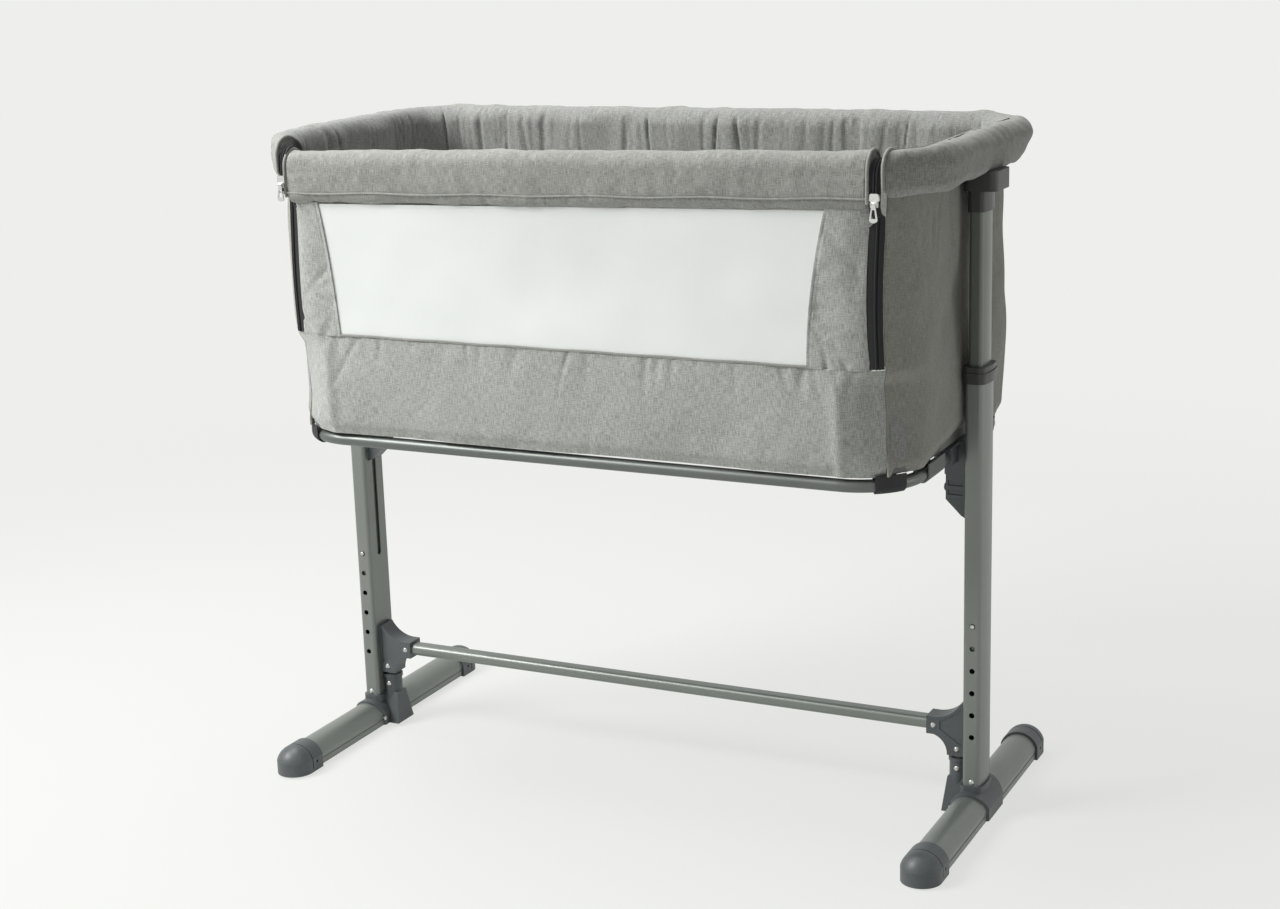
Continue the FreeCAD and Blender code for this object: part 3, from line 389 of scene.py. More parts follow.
# %% Cloth finishes
def heather(name, dark, pale, contrast=1.0, pitch=0.0011, weave_depth=0.00012):
    """Two-tone woven cloth: slubs along both threads, slow blotches, and a plain weave in the bump."""
    cloth = Finish(name, Roughness=0.92, Sheen_Weight=0.25, Sheen_Roughness=0.6)
    cloth.set("Specular IOR Level", 0.18)
    at = cloth.place(cloth=True)
    across = cloth.noise(cloth.stretch(at, 130, 1150), 1.0, 1.0)
    upright = cloth.noise(cloth.stretch(at, 1150, 95), 1.0, 1.0)
    speck = cloth.noise(cloth.stretch(at, 1100, 1100), 1.0, 0.0)
    blotch = cloth.noise(cloth.stretch(at, 9, 9), 1.0, 2.0)
    threads = (across * 0.45 + upright * 0.55 - 0.5) * (3.1 * contrast)
    tone = threads + (speck - 0.5) * (0.6 * contrast)
    tone = (tone + (blotch - 0.5) * 0.28 + 0.5).clamp()
    cloth.set("Base Color", cloth.mix(tone, dark, pale))
    u, v, _ = cloth.split(at)
    turn = 2 * math.pi / pitch
    weave = (u * turn).sine() * (v * turn).sine()
    soft = cloth.noise(cloth.stretch(at, 60, 45), 1.0, 3.0, 0.55)
    rumple = cloth.bump(soft, 0.0010, 0.5)
    relief = weave * 0.5 + across * 0.6 + upright * 0.6
    cloth.set("Normal", cloth.bump(relief, weave_depth, 0.8, rumple))
    cloth.set("Roughness", tone * -0.08 + 0.95)
    return cloth.material


front_cloth = heather("heather_cloth", (0.205, 0.212, 0.195), (0.445, 0.455, 0.430))
# The rim's cloth is darker than the front's: partly its own darker threads, partly painted shade for the middle
# of the round roll, which faces away from the lamps.
rim_cloth_with_painted_shade = heather("heather_cloth_rim_painted_shade", (0.150, 0.153, 0.138), (0.335, 0.340, 0.312))
# The end panels' cloth is a little browner, which is its own colour, and darker, which is painted shade for the
# ends turned away from the key lamp.
side_cloth_with_painted_shade = heather("heather_cloth_side_painted_shade", (0.150, 0.151, 0.128), (0.325, 0.326, 0.286), 0.8)
# The lining is the front's cloth painted darker: painted shade for the inside of the tub.
inner_cloth_painted_shade = heather("heather_cloth_inside_painted_shade", (0.144, 0.147, 0.138), (0.322, 0.327, 0.311))
piping_cloth = heather("piping_cloth", (0.16, 0.163, 0.148), (0.35, 0.355, 0.33), 0.7, pitch=0.0009)
lining_cloth = heather("lining_cloth", (0.10, 0.103, 0.10), (0.22, 0.226, 0.22), 0.5)
print("cloth finishes made")

# %% Mesh, mattress, webbing and zip finishes
def net_finish():
    """White knitted mesh: pale threads with holes far smaller than a pixel, so it is partly see-through."""
    net = Finish("window_net", Roughness=0.75, Sheen_Weight=0.3)
    at = net.place(cloth=True)
    u, v, _ = net.split(at)
    cell = 2 * math.pi / 0.0021
    holes = ((u * cell).sine() * (v * (cell * 0.62)).sine() + 1.0) * 0.5
    slow = net.noise(net.stretch(at, 5, 7), 1.0, 2.0)
    net.set("Base Color", net.mix(slow, (0.75, 0.775, 0.75), (0.82, 0.84, 0.82)))
    net.set("Alpha", (holes * 0.14 + slow * 0.12 + 0.70).clamp(0.0, 0.97))
    net.set("Normal", net.bump(holes, 0.0002, 0.5))
    return net.material


def quilt_finish():
    cover = Finish("mattress_cover", Roughness=0.9, Sheen_Weight=0.2)
    at = cover.place()
    x, y, _ = cover.split(at)
    turn = 2 * math.pi / 0.0012
    weave = (x * turn).sine() * (y * turn).sine()
    slow = cover.noise(cover.stretch(at, 12, 12, 12), 1.0, 3.0)
    cover.set("Base Color", cover.mix(slow, (0.70, 0.70, 0.67), (0.80, 0.80, 0.78)))
    cover.set("Normal", cover.bump(weave + slow * 6.0, 0.0002, 0.6))
    return cover.material


def ribbed_finish(name, dark, pale, pitch):
    """Webbing or zip tape: ribs across the tape and a fine noise in the tone."""
    rough = 0.8
    tape = Finish(name, Roughness=rough)
    at = tape.place(cloth=True)
    u, _, _ = tape.split(at)
    ribs = (u * (2 * math.pi / pitch)).sine() * 0.5 + 0.5
    fine = tape.noise(tape.stretch(at, 700, 700), 1.0, 1.0)
    tape.set("Base Color", tape.mix((ribs * 0.5 + fine * 0.6).clamp(), dark, pale))
    tape.set("Normal", tape.bump(ribs + fine * 0.4, 0.00025, 0.7))
    tape.set("Roughness", fine * 0.15 + rough - 0.05)
    return tape.material


window_net = net_finish()
mattress_cover = quilt_finish()
black_webbing = ribbed_finish("black_webbing", (0.010, 0.010, 0.011), (0.035, 0.035, 0.038), 0.0018)
grey_webbing = ribbed_finish("grey_webbing", (0.10, 0.105, 0.10), (0.22, 0.23, 0.22), 0.0020)
zip_tape = ribbed_finish("zip_tape", (0.006, 0.006, 0.007), (0.022, 0.022, 0.024), 0.0009)
print("net, webbing and zip finishes made")

# %% [markdown]
# ## Metal and plastic
# The tubes have a satin metallic grey paint, a little smoother on the sliding tubes, whose darker
# colour is painted shade. The fittings are dark slate plastic with the fine grain that a mould leaves.

# %% Hard finishes
def satin_tube(name, dark, pale, metallic, rough):
    """Metallic paint: slow unevenness, a fine flake in the roughness and a light orange peel."""
    tube = Finish(name, Metallic=metallic, Roughness=rough)
    at = tube.place()
    slow = tube.noise(at, 9.0, 2.0)
    flake = tube.noise(at, 900.0, 1.0)
    worn = tube.noise(tube.stretch(at, 40, 40, 6), 1.0, 3.0)
    tube.set("Base Color", tube.mix((slow * 0.7 + flake * 0.3).clamp(), dark, pale))
    tube.set("Roughness", (flake * 0.10 + worn * 0.12 + rough - 0.11).clamp())
    tube.set("Normal", tube.bump(tube.noise(at, 220.0, 2.0), 0.0001, 0.25))
    return tube.material


def moulded(name, dark, pale, rough, grain=1500.0):
    """Moulded plastic: a fine grain in the bump, rubbed a little smoother in places."""
    plastic = Finish(name, Roughness=rough)
    at = plastic.place()
    slow = plastic.noise(at, 25.0, 3.0)
    fine = plastic.noise(at, grain, 1.0)
    plastic.set("Base Color", plastic.mix(slow, dark, pale))
    plastic.set("Roughness", (slow * 0.16 + fine * 0.08 + rough - 0.12).clamp())
    plastic.set("Normal", plastic.bump(fine, 0.00008, 0.5))
    return plastic.material


def bright_metal(name, colour, rough):
    metal = Finish(name, Metallic=1.0, Roughness=rough)
    at = metal.place()
    scuff = metal.noise(at, 600.0, 3.0, 0.6)
    metal.set("Base Color", metal.mix(scuff, tuple(c * 0.85 for c in colour), colour))
    metal.set("Roughness", (scuff * 0.2 + rough - 0.08).clamp())
    return metal.material


def board_finish():
    board = Finish("base_board_ply", Roughness=0.7)
    at = board.place()
    grain = board.noise(board.stretch(at, 4, 90, 90), 1.0, 4.0, 0.6)
    board.set("Base Color", board.mix(grain.step(0.3, 0.7), (0.42, 0.32, 0.20), (0.58, 0.47, 0.33)))
    board.set("Normal", board.bump(grain, 0.0002, 0.5))
    return board.material


grey_tube = satin_tube("grey_tube", (0.175, 0.190, 0.175), (0.235, 0.252, 0.234), 0.45, 0.40)
dark_tube = satin_tube("dark_tube", (0.110, 0.119, 0.110), (0.155, 0.166, 0.155), 0.45, 0.38)
# The sliding tubes get a darker copy of the tube paint: painted shade for the upper posts.
slide_tube_painted_shade = satin_tube("slide_tube_painted_shade", (0.110, 0.118, 0.106), (0.155, 0.166, 0.150), 0.45, 0.34)
slate_plastic = moulded("slate_plastic", (0.060, 0.069, 0.073), (0.090, 0.101, 0.105), 0.46)
black_plastic = moulded("black_plastic", (0.026, 0.028, 0.027), (0.040, 0.043, 0.041), 0.42)
rubber = moulded("pad_rubber", (0.020, 0.020, 0.021), (0.040, 0.040, 0.041), 0.75)
steel = bright_metal("screw_steel", (0.62, 0.62, 0.60), 0.32)
silver = bright_metal("puller_silver", (0.78, 0.78, 0.76), 0.22)
ply = board_finish()

dress(grey_tube, "outer_post_left", "outer_post_right", "crossbar", "stub_tubes",
      "foot_tube_left", "foot_tube_right")
dress(slide_tube_painted_shade, "inner_post_left", "inner_post_right")
dress(black_plastic, "post_cap_left", "post_cap_right", "post_bushes")
dress(dark_tube, "lower_ring", "rim_tube", "drop_bar")
dress(slate_plastic, "nose_front_left", "nose_front_right", "nose_back_left", "nose_back_right",
      "post_saddle_left", "post_saddle_right", "stub_sockets", "gusset_left", "gusset_right",
      "slot_bracket_left", "slot_bracket_right", "bracket_knobs",
      "ring_clamps", "inner_glides", "leaf_holders", "rim_end_plugs", "drop_bar_plugs")
dress(rubber, "foot_pads")
dress(steel, "base_screws", "tab_snaps", "snap_clip_left", "snap_clip_right")
dress(silver, "zip_slider_left", "zip_slider_right", "pull_tab_left", "pull_tab_right")
dress(ply, "base_board")
print("hard finishes given to the packed nodes")

# %% [markdown]
# ## The padded rim
# The rim is foam sewn into a sleeve round a bent tube. Its section is round on top, straight at
# the sides and shallow below. The section is carried along the rim's line, cut by an upright
# plane at each zip, and then disturbed: padding is never quite even, and the sleeve puckers
# where it is gathered at the corners and along the seam with the wall.

# %% Section of a padded roll
def run_of(line):
    """How far along a line each of its points lies."""
    return np.concatenate([[0], np.cumsum(np.linalg.norm(np.diff(line, axis=0), axis=1))])


def evened(line, count, closed=False):
    """The same line through evenly spaced points."""
    run = run_of(line)
    even = np.linspace(0, run[-1], count, endpoint=not closed)
    return np.stack([np.interp(even, run, part) for part in line.T], -1)


def roll_section(width, low, top, sag, count):
    """Outline of the roll, evenly spaced: how far out from its middle line, and how high."""
    half = width / 2
    arc = np.linspace(math.pi, 0, 60)
    over = laid(half * np.cos(arc), top - half + half * np.sin(arc))
    below = np.linspace(1, -1, 50)[1:-1]
    radius = (half ** 2 + sag ** 2) / (2 * sag)
    under = laid(half * below, low + radius - np.sqrt(radius ** 2 - (half * below) ** 2))
    outline = np.concatenate([over, under, over[:1]])
    line = evened(outline, 400, closed=True)
    for _ in range(30):
        line = (np.roll(line, 1, 0) + 2 * line + np.roll(line, -1, 0)) / 4
    pick = np.linspace(0, 400, count, endpoint=False).astype(int)
    return line[pick], run_of(outline)[-1]


def section_facing(section):
    """Outward direction of each point of a section."""
    slope = np.roll(section, -1, 0) - np.roll(section, 1, 0)
    out = laid(-slope[:, 1], slope[:, 0])
    out *= np.sign(((section - section.mean(0)) * out).sum(-1, keepdims=True))
    return out / np.linalg.norm(out, axis=1, keepdims=True)


RIM_COLUMNS, END_STEPS, END_DEPTH = 96, 6, 0.006


def carried(section, s):
    """A section carried along the rim's line, its first and last rows drawn in to round the ends.

    Returns the section's directions, its place out and up in each row, x and y, and the way out."""
    facing_out = section_facing(section)
    turned = END_DEPTH * (1 - np.sin(np.linspace(0, math.pi / 2, END_STEPS)))
    drawn = np.zeros((len(s), 1))
    drawn[:END_STEPS, 0], drawn[-END_STEPS:, 0] = turned, turned[::-1]
    out_line, up_line = (section[None, :, k] - drawn * facing_out[None, :, k] for k in (0, 1))
    x, y, nx, ny = around(s, RIM, out_line)
    return facing_out, out_line, up_line, x, y, nx, ny


def roll_uv(s, girth):
    """Cloth coordinates of a roll: along it, and round its section."""
    return laid(s, np.linspace(0, girth, RIM_COLUMNS)[None, :])


# %% The fixed rim, round both ends and the back
rim_section, rim_girth = roll_section(*RIM_ROLL, RIM_COLUMNS)
starts = reach(SEAM_FRONT + 0.0008, RIM, rim_section[:, 0])
share = np.concatenate([np.linspace(0, 0.004, END_STEPS, endpoint=False), np.linspace(0.004, 1, 340)])
share = np.concatenate([share, 2 - share[-2::-1]])
half = half_way(RIM)
s = np.where(share[:, None] <= 1, starts + (half - starts) * share[:, None],
             -(starts + (half - starts) * (2 - share[:, None])))
rim_out, out_line, up_line, x, y, nx, ny = carried(rim_section, s)
rim_grid = laid(x, y, up_line)
sideways = rim_section[None, :, 0] / (RIM_ROLL[0] / 2)
inner = np.clip(-sideways, 0, 1) * smooth_step(rim_section[None, :, 1], 0.834, 0.850)
outer = np.clip(sideways, 0, 1)
puff = 0.0013 * wander(rim_grid, 0.075, 3) + 0.0006 * wander(rim_grid, 0.024, 4)
tucks = creases(s, 0.884 - up_line, (-half, half), 74, 11, width=0.0042, length=0.10, lean=0.5)
corner_s = [RIM[0] - RIM[2] + 0.063, RIM[0] - RIM[2] + 0.126 + 2 * (RIM[1] - RIM[2]) + 0.063]
at_corner = sum(bell(np.abs(s), c, 0.075) for c in corner_s)
folds = creases(s, 0 * s, (-half, half), 60, 12, width=0.0035, length=1.0, lean=0.0)
lift = puff - inner * tucks * 0.0030 - at_corner * (inner * 0.7 + outer * 0.25) * folds * 0.0026
to_end = np.minimum(share, 2 - share)[:, None]
lift *= smooth_step(to_end, 0.0, 0.012)
front_draw = np.where(s < 0, 0.0100, 0.0065) * bell(np.abs(s), corner_s[0], 0.070) * outer
front_draw *= smooth_step(to_end, 0.0, 0.03)
back_tuck = 0.015 * bell(np.abs(s), corner_s[1], 0.090) * outer
back_tuck *= smooth_step(0.868 - up_line, 0.0, 0.035)
shift = rim_out[:, 0] * lift - front_draw - back_tuck
rim_grid = laid(x + nx * shift, y + ny * shift, up_line + rim_out[:, 1] * lift)
rim_grid[..., 2] -= RIM_DIP * bell(np.abs(s), starts, 0.10)
padded_rim = closed_roll("padded_rim", rim_grid, roll_uv(s, rim_girth))
fit(padded_rim, rim_cloth_with_painted_shade, "rim_cover")
print("rim:", rim_grid.shape, "girth", round(rim_girth, 3))

# %% The padded roll of the drop side
drop_section, drop_girth = roll_section(*DROP_ROLL, RIM_COLUMNS)
ends = reach(DROP_END - 0.0008, RIM, drop_section[:, 0])
share = np.concatenate([np.linspace(0, 0.006, END_STEPS, endpoint=False), np.linspace(0.006, 0.5, 190)])
share = np.concatenate([share, 1 - share[-2::-1]])
s = ends * (2 * share[:, None] - 1)
drop_out, out_line, up_line, x, y, nx, ny = carried(drop_section, s)
drop_grid = laid(x, y, up_line)
puff = 0.0011 * wander(drop_grid, 0.10, 5) + 0.0005 * wander(drop_grid, 0.03, 6)
near_end = bell(np.abs(s), 0.40, 0.05)
end_folds = creases(up_line, 0 * s, DROP_ROLL[1:3], 7, 21, width=0.003, length=1.0, lean=0.0)
low_tucks = creases(s, up_line - 0.812, (-0.4, 0.4), 26, 22, width=0.004, length=0.016, lean=0.9)
lift = puff - near_end * end_folds * 0.0016 - low_tucks * 0.0012 * (drop_section[None, :, 0] > 0)
lift *= smooth_step(np.minimum(share, 1 - share), 0.0, 0.02)[:, None]
drop_grid = laid(x + nx * drop_out[:, 0] * lift, y + ny * drop_out[:, 0] * lift,
                 up_line + drop_out[:, 1] * lift)
drop_grid[..., 0] -= 0.0030 * smooth_step(-drop_grid[..., 0], 0.30, 0.40)
drop_grid = hang(drop_grid, DROP_TILT)
padded_drop = closed_roll("padded_drop_roll", drop_grid, roll_uv(s, drop_girth))
fit(padded_drop, rim_cloth_with_painted_shade, "drop_cover", "drop_side")
print("drop roll:", drop_grid.shape)


# %% [markdown]
# ## Piping
# A thin cord in a strip of the same cloth is sewn round each cut end of the padding, so that the
# two ends look finished on both sides of the zip. It is a round tube carried along the section.

# %% Tubes carried along a line
def tube_along(line, radius, sides=10):
    """A tube grid round a line of points: two directions square to the line carry a circle."""
    slope = np.gradient(line, axis=0)
    slope /= np.linalg.norm(slope, axis=1, keepdims=True)
    length_way = np.abs(slope[:, 0]).mean() > 0.7
    aside = np.cross(slope, [0.0, 0.0, 1.0] if length_way else [1.0, 0.0, 0.0])
    aside /= np.linalg.norm(aside, axis=1, keepdims=True)
    other = np.cross(slope, aside)
    turn = np.linspace(0, 2 * math.pi, sides, endpoint=False)[None, :, None]
    radius = np.broadcast_to(radius, (len(line),))[:, None, None]
    return line[:, None, :] + radius * (np.cos(turn) * aside[:, None, :] + np.sin(turn) * other[:, None, :])


def bead_along(name, line, radius, sides=10):
    """A closed round bead along a line."""
    grid = tube_along(line, radius, sides)
    return closed_roll(name, grid, laid(run_of(line)[:, None], 0 * grid[..., 0]))

def joined_pieces(name, pieces):
    """Several meshes as one piece."""
    work = bmesh.new()
    for piece in pieces:
        work.from_mesh(piece.data)
    mesh = bpy.data.meshes.new(name)
    work.to_mesh(mesh)
    work.free()
    for piece in pieces:
        old = piece.data
        bpy.data.objects.remove(piece)
        bpy.data.meshes.remove(old)
    made = bpy.data.objects.new(name, mesh)
    bpy.context.scene.collection.objects.link(made)
    return made


def front_y(x, shape, out):
    """y of the front of a line, moved outwards by out, at a given x on its straight run or corner."""
    half_x, half_y, corner = shape
    over = np.maximum(np.abs(x) - (half_x - corner), 0)
    return -(half_y - corner) - np.sqrt(np.maximum((corner + out) ** 2 - over ** 2, 0))


def piping_round(name, section, x_at, body, node):
    """One bead of piping on each side of the crib, over the top and down both sides of the section."""
    section = section[(section[:, 1] > section[:, 1].min() + 0.0105)]
    order = np.argsort(np.arctan2(section[:, 1] - section[:, 1].mean(), -section[:, 0]) % (2 * math.pi))
    section = section[order]
    gap = np.linalg.norm(np.diff(section, axis=0, append=section[:1]), axis=1).argmax()
    section = np.roll(section, -gap - 1, 0)
    grown = section + 0.0006 * section_facing(section)
    made = []
    for side in (-1, 1):
        line = laid(side * x_at, front_y(x_at, RIM, grown[:, 0]), grown[:, 1])
        if body == "drop_side":
            line = hang(line, DROP_TILT) - [0.003 if side < 0 else 0.0, 0, 0]
        else:
            line[:, 2] -= RIM_DIP
        made.append(bead_along(name + "_bead", line, 0.0021))
    if body == "drop_side":
        s = np.linspace(-0.404, 0.404, 300)
        x, y, _, _ = around(s, RIM, 0.0202)
        line = hang(laid(x, y, 0.8215 + 0.0008 * np.sin(s * 41)), DROP_TILT)
        made.append(bead_along(name + "_seam", line, 0.0012, sides=8))
    fit(joined_pieces(name, made), piping_cloth, node, body)


piping_round("piping_fixed", rim_section, SEAM_FRONT + 0.0018, "bassinet", "rim_piping")
piping_round("piping_drop", drop_section, DROP_END - 0.0018, "drop_side", "drop_piping")
print("piping made")

# %% [markdown]
# ## The tub's walls
# Each wall is a sheet that follows the tub's line. Its height is the second parameter. The lower
# edge is turned under and tucked in at the corners, and the ends and back are gathered into the
# rim, which leaves upright creases that fade downwards.

# %% One wall sheet
def tuck_under(z, bottom):
    """How far a wall curves inwards near its lower edge."""
    return -0.006 * (1 - smooth_step(z - bottom, 0.0, 0.022)) ** 2


def under_roll(out, roll):
    """Height of the underside of a padded roll at a distance out from its middle line."""
    width, low, _, sag = roll
    half_w = width / 2
    radius = (half_w ** 2 + sag ** 2) / (2 * sag)
    out = np.clip(out, -half_w * 0.98, half_w * 0.98)
    return low + radius - np.sqrt(radius ** 2 - out ** 2)


def wall_grid(s, z, bulge):
    """Points of the tub's outside at distances s and heights z, moved outwards by bulge."""
    x, y, _, _ = around(s, TUB, bulge)
    return laid(x, y, z)


def corner_fold(s, z):
    """The crease down each front corner: a ridge just before the corner, then a hollow past the seam."""
    s = np.abs(s)
    ridge = 0.0030 * bell(s, 0.356, 0.009)
    hollow = -0.0080 * smooth_step(s, 0.354, 0.402) * (1 - smooth_step(s, 0.425, 0.50))
    deeper = 0.25 + 0.75 * smooth_step(z, HEM_Z, HEM_Z + 0.045)
    return (ridge + hollow * deeper) * (1 - smooth_step(z, 0.606, 0.627))


# %% The lower band at the front
band_s = np.linspace(-1, 1, 420)[:, None] * float(reach(SEAM_FRONT - 0.0003, TUB))
band_v = np.linspace(0, 1, 56)[None, :]
sagging = 0.0022 * np.sin(band_s * 9 + 0.6) + 0.0012 * np.sin(band_s * 23)
bottom = HEM_Z - 0.001 + sagging * 0.2
z = bottom + (BAND_TOP - 0.0006 - bottom) * band_v
up, down = z - bottom, BAND_TOP - z
corner_zone = smooth_step(np.abs(band_s), 0.34, 0.42)
points = laid(band_s, 0, z)
bulge = 0.0030 * np.sin(math.pi * band_v) * (1 - 0.6 * corner_zone)
bulge = bulge + 0.0022 * wander(points, 0.16, 31) * (1 - band_v) + 0.0004 * wander(points, 0.05, 32)
bulge = bulge + tuck_under(z, bottom) - 0.003 * corner_zone * (1 - band_v) ** 2
for strength, depth, span, crease in ((0.0009, up, (-0.42, 0.42), (34, 33, 0.006, 0.030, 0.7)),
                                      (0.0024, down, (-0.36, 0.38), (30, 34, 0.0052, 0.026, 0.35)),
                                      (0.0026, down, (-0.40, -0.20), (7, 35, 0.0075, 0.060, 1.3))):
    bulge = bulge - strength * creases(band_s, depth, span, *crease)
bulge = bulge - 0.0012 * bell(up, 0.009, 0.0013) - 0.0006 * bell(down, 0.0045, 0.0011)
bulge = np.minimum(bulge, 0.004) + corner_fold(band_s, z)
band_grid = hang(wall_grid(band_s, z, bulge))
lower_band = cloth_shell("front_band_cloth", band_grid, laid(band_s, z), CLOTH)
fit(lower_band, front_cloth, "front_band")
cloth_sheet(band_grid)

# %% The end panels
s_front, s_back = float(reach(SEAM_FRONT + 0.0003, TUB)), half_way(TUB) - SEAM_BACK
side_mid = TUB[0] - TUB[2] + math.pi / 2 * TUB[2] + (TUB[1] - TUB[2])


def end_panel(side):
    """One end of the tub, from the zip round the corner, along the end and round the back corner."""
    s = np.linspace(s_front, s_back, 330)[:, None]
    v = np.linspace(0, 1, 110)[None, :]
    x, along, _, _ = around(s, TUB)
    arch = HEM_RISE * np.clip(1 - (along / 0.147) ** 2, 0, 1) * (np.abs(s - side_mid) < 0.16)
    bottom = HEM_Z + arch + 0.0015 * np.sin(s * 31)
    past_x, past_y = np.abs(x) - (RIM[0] - RIM[2]), np.abs(along) - (RIM[1] - RIM[2])
    tub_out = np.where((past_x > 0) & (past_y > 0),
                       np.hypot(np.maximum(past_x, 0), np.maximum(past_y, 0)) - RIM[2], np.abs(x) - RIM[0])
    top = under_roll(tub_out - 0.0012, RIM_ROLL) + 0.0012
    z = bottom + (top - bottom) * v
    points = laid(s, 0, z + side)
    middle = np.sin(math.pi * v) ** 0.8
    bulge = 0.0035 * wander(points, 0.17, 41) * middle + 0.0010 * wander(points, 0.05, 42) * middle
    bulge = bulge + bell(along, 0.115, 0.07) * 0.012 * bell(z, 0.655, 0.085)
    bulge = bulge - 0.0024 * creases(s, top - z, (s_front, s_back), 26, 43 + side, 0.006, 0.10, 0.35)
    bulge = bulge - 0.0020 * creases(s, z - bottom, (s_front, s_back), 16, 45 + side, 0.007, 0.05, 0.5)
    at_zip = 1 - smooth_step(s, s_front, s_front + 0.05)
    bulge = bulge + tuck_under(z, bottom) - 0.006 * at_zip * (1 - v) ** 4
    bulge = np.minimum(bulge, 0.014 - 0.0152 * bell(along, 0, 0.045))
    edge = smooth_step(np.minimum(v, 1 - v), 0, 0.02)
    bulge = bulge * np.where(bulge > 0, edge, 1.0)
    bulge = bulge * smooth_step(s, s_front - 0.004, s_front + 0.015)
    bulge = bulge * smooth_step(s_back - s, -0.004, 0.02)
    grid = wall_grid(s, z, bulge + corner_fold(s, z))
    grid[..., 0] *= side
    return hang(grid), laid(s, z)


for side, word in ((-1, "left"), (1, "right")):
    grid, uv = end_panel(side)
    panel = cloth_shell("end_panel_cloth_" + word, grid, uv, CLOTH, inward=side)
    fit(panel, side_cloth_with_painted_shade, "end_panel_" + word)
    cloth_sheet(grid)

# %% The back wall, gathered into the rim
back_x = np.linspace(-SEAM_BACK + 0.0004, SEAM_BACK - 0.0004, 460)[:, None]
back_v = np.linspace(0, 1, 110)[None, :]
bottom = HEM_Z + 0.0012 * np.sin(back_x * 29)
top = 0.8331
z = bottom + (top - bottom) * back_v
points = laid(back_x, 0, z)
gather = creases(back_x, top - z, (-SEAM_BACK, SEAM_BACK), 44, 51, 0.0060, 0.17, 0.18)
waves = np.sin(back_x * 2 * math.pi / 0.047 + 1.5 * wander(points * [1, 0, 0.4], 0.2, 52))
bulge = 0.0020 * waves * smooth_step(back_v, 0.0, 0.9) + 0.0022 * wander(points, 0.14, 53)
bulge = (bulge - 0.0032 * gather) * smooth_step(back_v, 0, 0.04) + tuck_under(z, bottom)
bulge = bulge * smooth_step(SEAM_BACK - np.abs(back_x), -0.004, 0.02)
back_grid = hang(laid(back_x, TUB[1] + np.clip(bulge, -0.006, 0.006), z))
back_wall = cloth_shell("back_wall_cloth", back_grid, laid(back_x, z), CLOTH, inward=-1.0)
fit(back_wall, front_cloth, "back_panel")
cloth_sheet(back_grid)

# %% [markdown]
# ## The lining
# Inside, a second cloth comes over the padding from the top of the rim and falls to the bed. It
# is sewn in with more width than it needs, so it hangs in uneven upright tucks: a few deep ones
# and many faint ones. Its line starts on the rim's line and ends on the tub's, mixed by height.

# %% The lining, from the rim's top down to the bed
lining_top = np.linspace(math.radians(78), 0, 16)
lining_fall = np.linspace(0, 1, 110)[1:]
bend_r = np.linspace(0.0224, 0.0262, 16)
top_out = np.concatenate([-bend_r * np.cos(lining_top), np.full(109, -0.0262)])
lining_z = np.concatenate([0.8650 + bend_r * np.sin(lining_top), 0.8650 + (0.5145 - 0.8650) * lining_fall])
mixed = np.concatenate([np.zeros(16), lining_fall])[None, :]
share = np.linspace(0, 2, 760)[:, None]
side = np.where(share <= 1, 1.0, -1.0)
part = np.where(share <= 1, share, 2 - share)
rim_from, tub_from = float(reach(SEAM_FRONT + 0.004, RIM)), float(reach(SEAM_FRONT + 0.004, TUB))
rim_s = side * (rim_from + (half_way(RIM) - rim_from) * part)
tub_s = side * (tub_from + (half_way(TUB) - tub_from) * part)
down = 0.887 - lining_z[None, :] + 0 * rim_s
span = (-half_way(RIM), half_way(RIM))
tucks = 0.0070 * creases(rim_s, down, span, 40, 81, 0.0030, 0.24, 0.14)
tucks = tucks + 0.0020 * creases(rim_s, down, span, 120, 82, 0.0028, 0.16, 0.12)
soft = 0.0022 * wander(laid(rim_s, 0, down * 0.3), 0.055, 83)
press = (soft + 0.0004 - np.minimum(tucks, 0.0058)) * smooth_step(down, 0.002, 0.022)
press = np.clip(press * smooth_step(lining_z[None, :], 0.53, 0.57), -0.0042, 0.0030)
rim_x, rim_y, rim_nx, rim_ny = around(rim_s, RIM, top_out[None, :])
tub_x, tub_y, _, _ = around(tub_s, TUB, -0.0100)
ease = mixed ** 1.3
lining_grid = laid(rim_x * (1 - ease) + tub_x * ease - rim_nx * press,
                   rim_y * (1 - ease) + tub_y * ease - rim_ny * press, lining_z[None, :])
near_front = bell(np.abs(rim_s), rim_from, 0.10)
lining_grid[..., 2] -= RIM_DIP * near_front * smooth_step(lining_z, 0.80, 0.86)[None, :]
lining_grid = hang(lining_grid)
lining = cloth_shell("tub_lining", lining_grid, laid(rim_s, down), 0.0014)
fit(lining, inner_cloth_painted_shade)
cloth_sheet(lining_grid)

# %% [markdown]
# ## The drop side
# Below its roll the drop side has a window of white knitted net between two strips of cloth.
# Their lower edge is sewn to the band. These pieces belong to no body; their places are baked
# into their points.

# %% The window's outline and the two strips
SKIRT_TOP = 0.820
WINDOW_SHIFT = 0.008               # the whole window sits this much further to the left

def window_edge(z, side):
    """How far out the window's edge is on one side: an arc through three points, wider upwards."""
    t = (z - SILL_Z) / (SKIRT_TOP - SILL_Z)
    low, mid, top = 0.326, 0.333, 0.352
    bow = (mid - low - 0.45 * (top - low)) / (0.45 * (0.45 - 1))
    return low + (top - low) * t + bow * t * (t - 1) - WINDOW_SHIFT * side


def drop_top(x):
    """Height of the underside of the drop side's roll above the wall at a given x."""
    over = -front_y(x, TUB, -0.0012) + front_y(x, RIM, 0.0)
    return under_roll(over, DROP_ROLL) + 0.0012


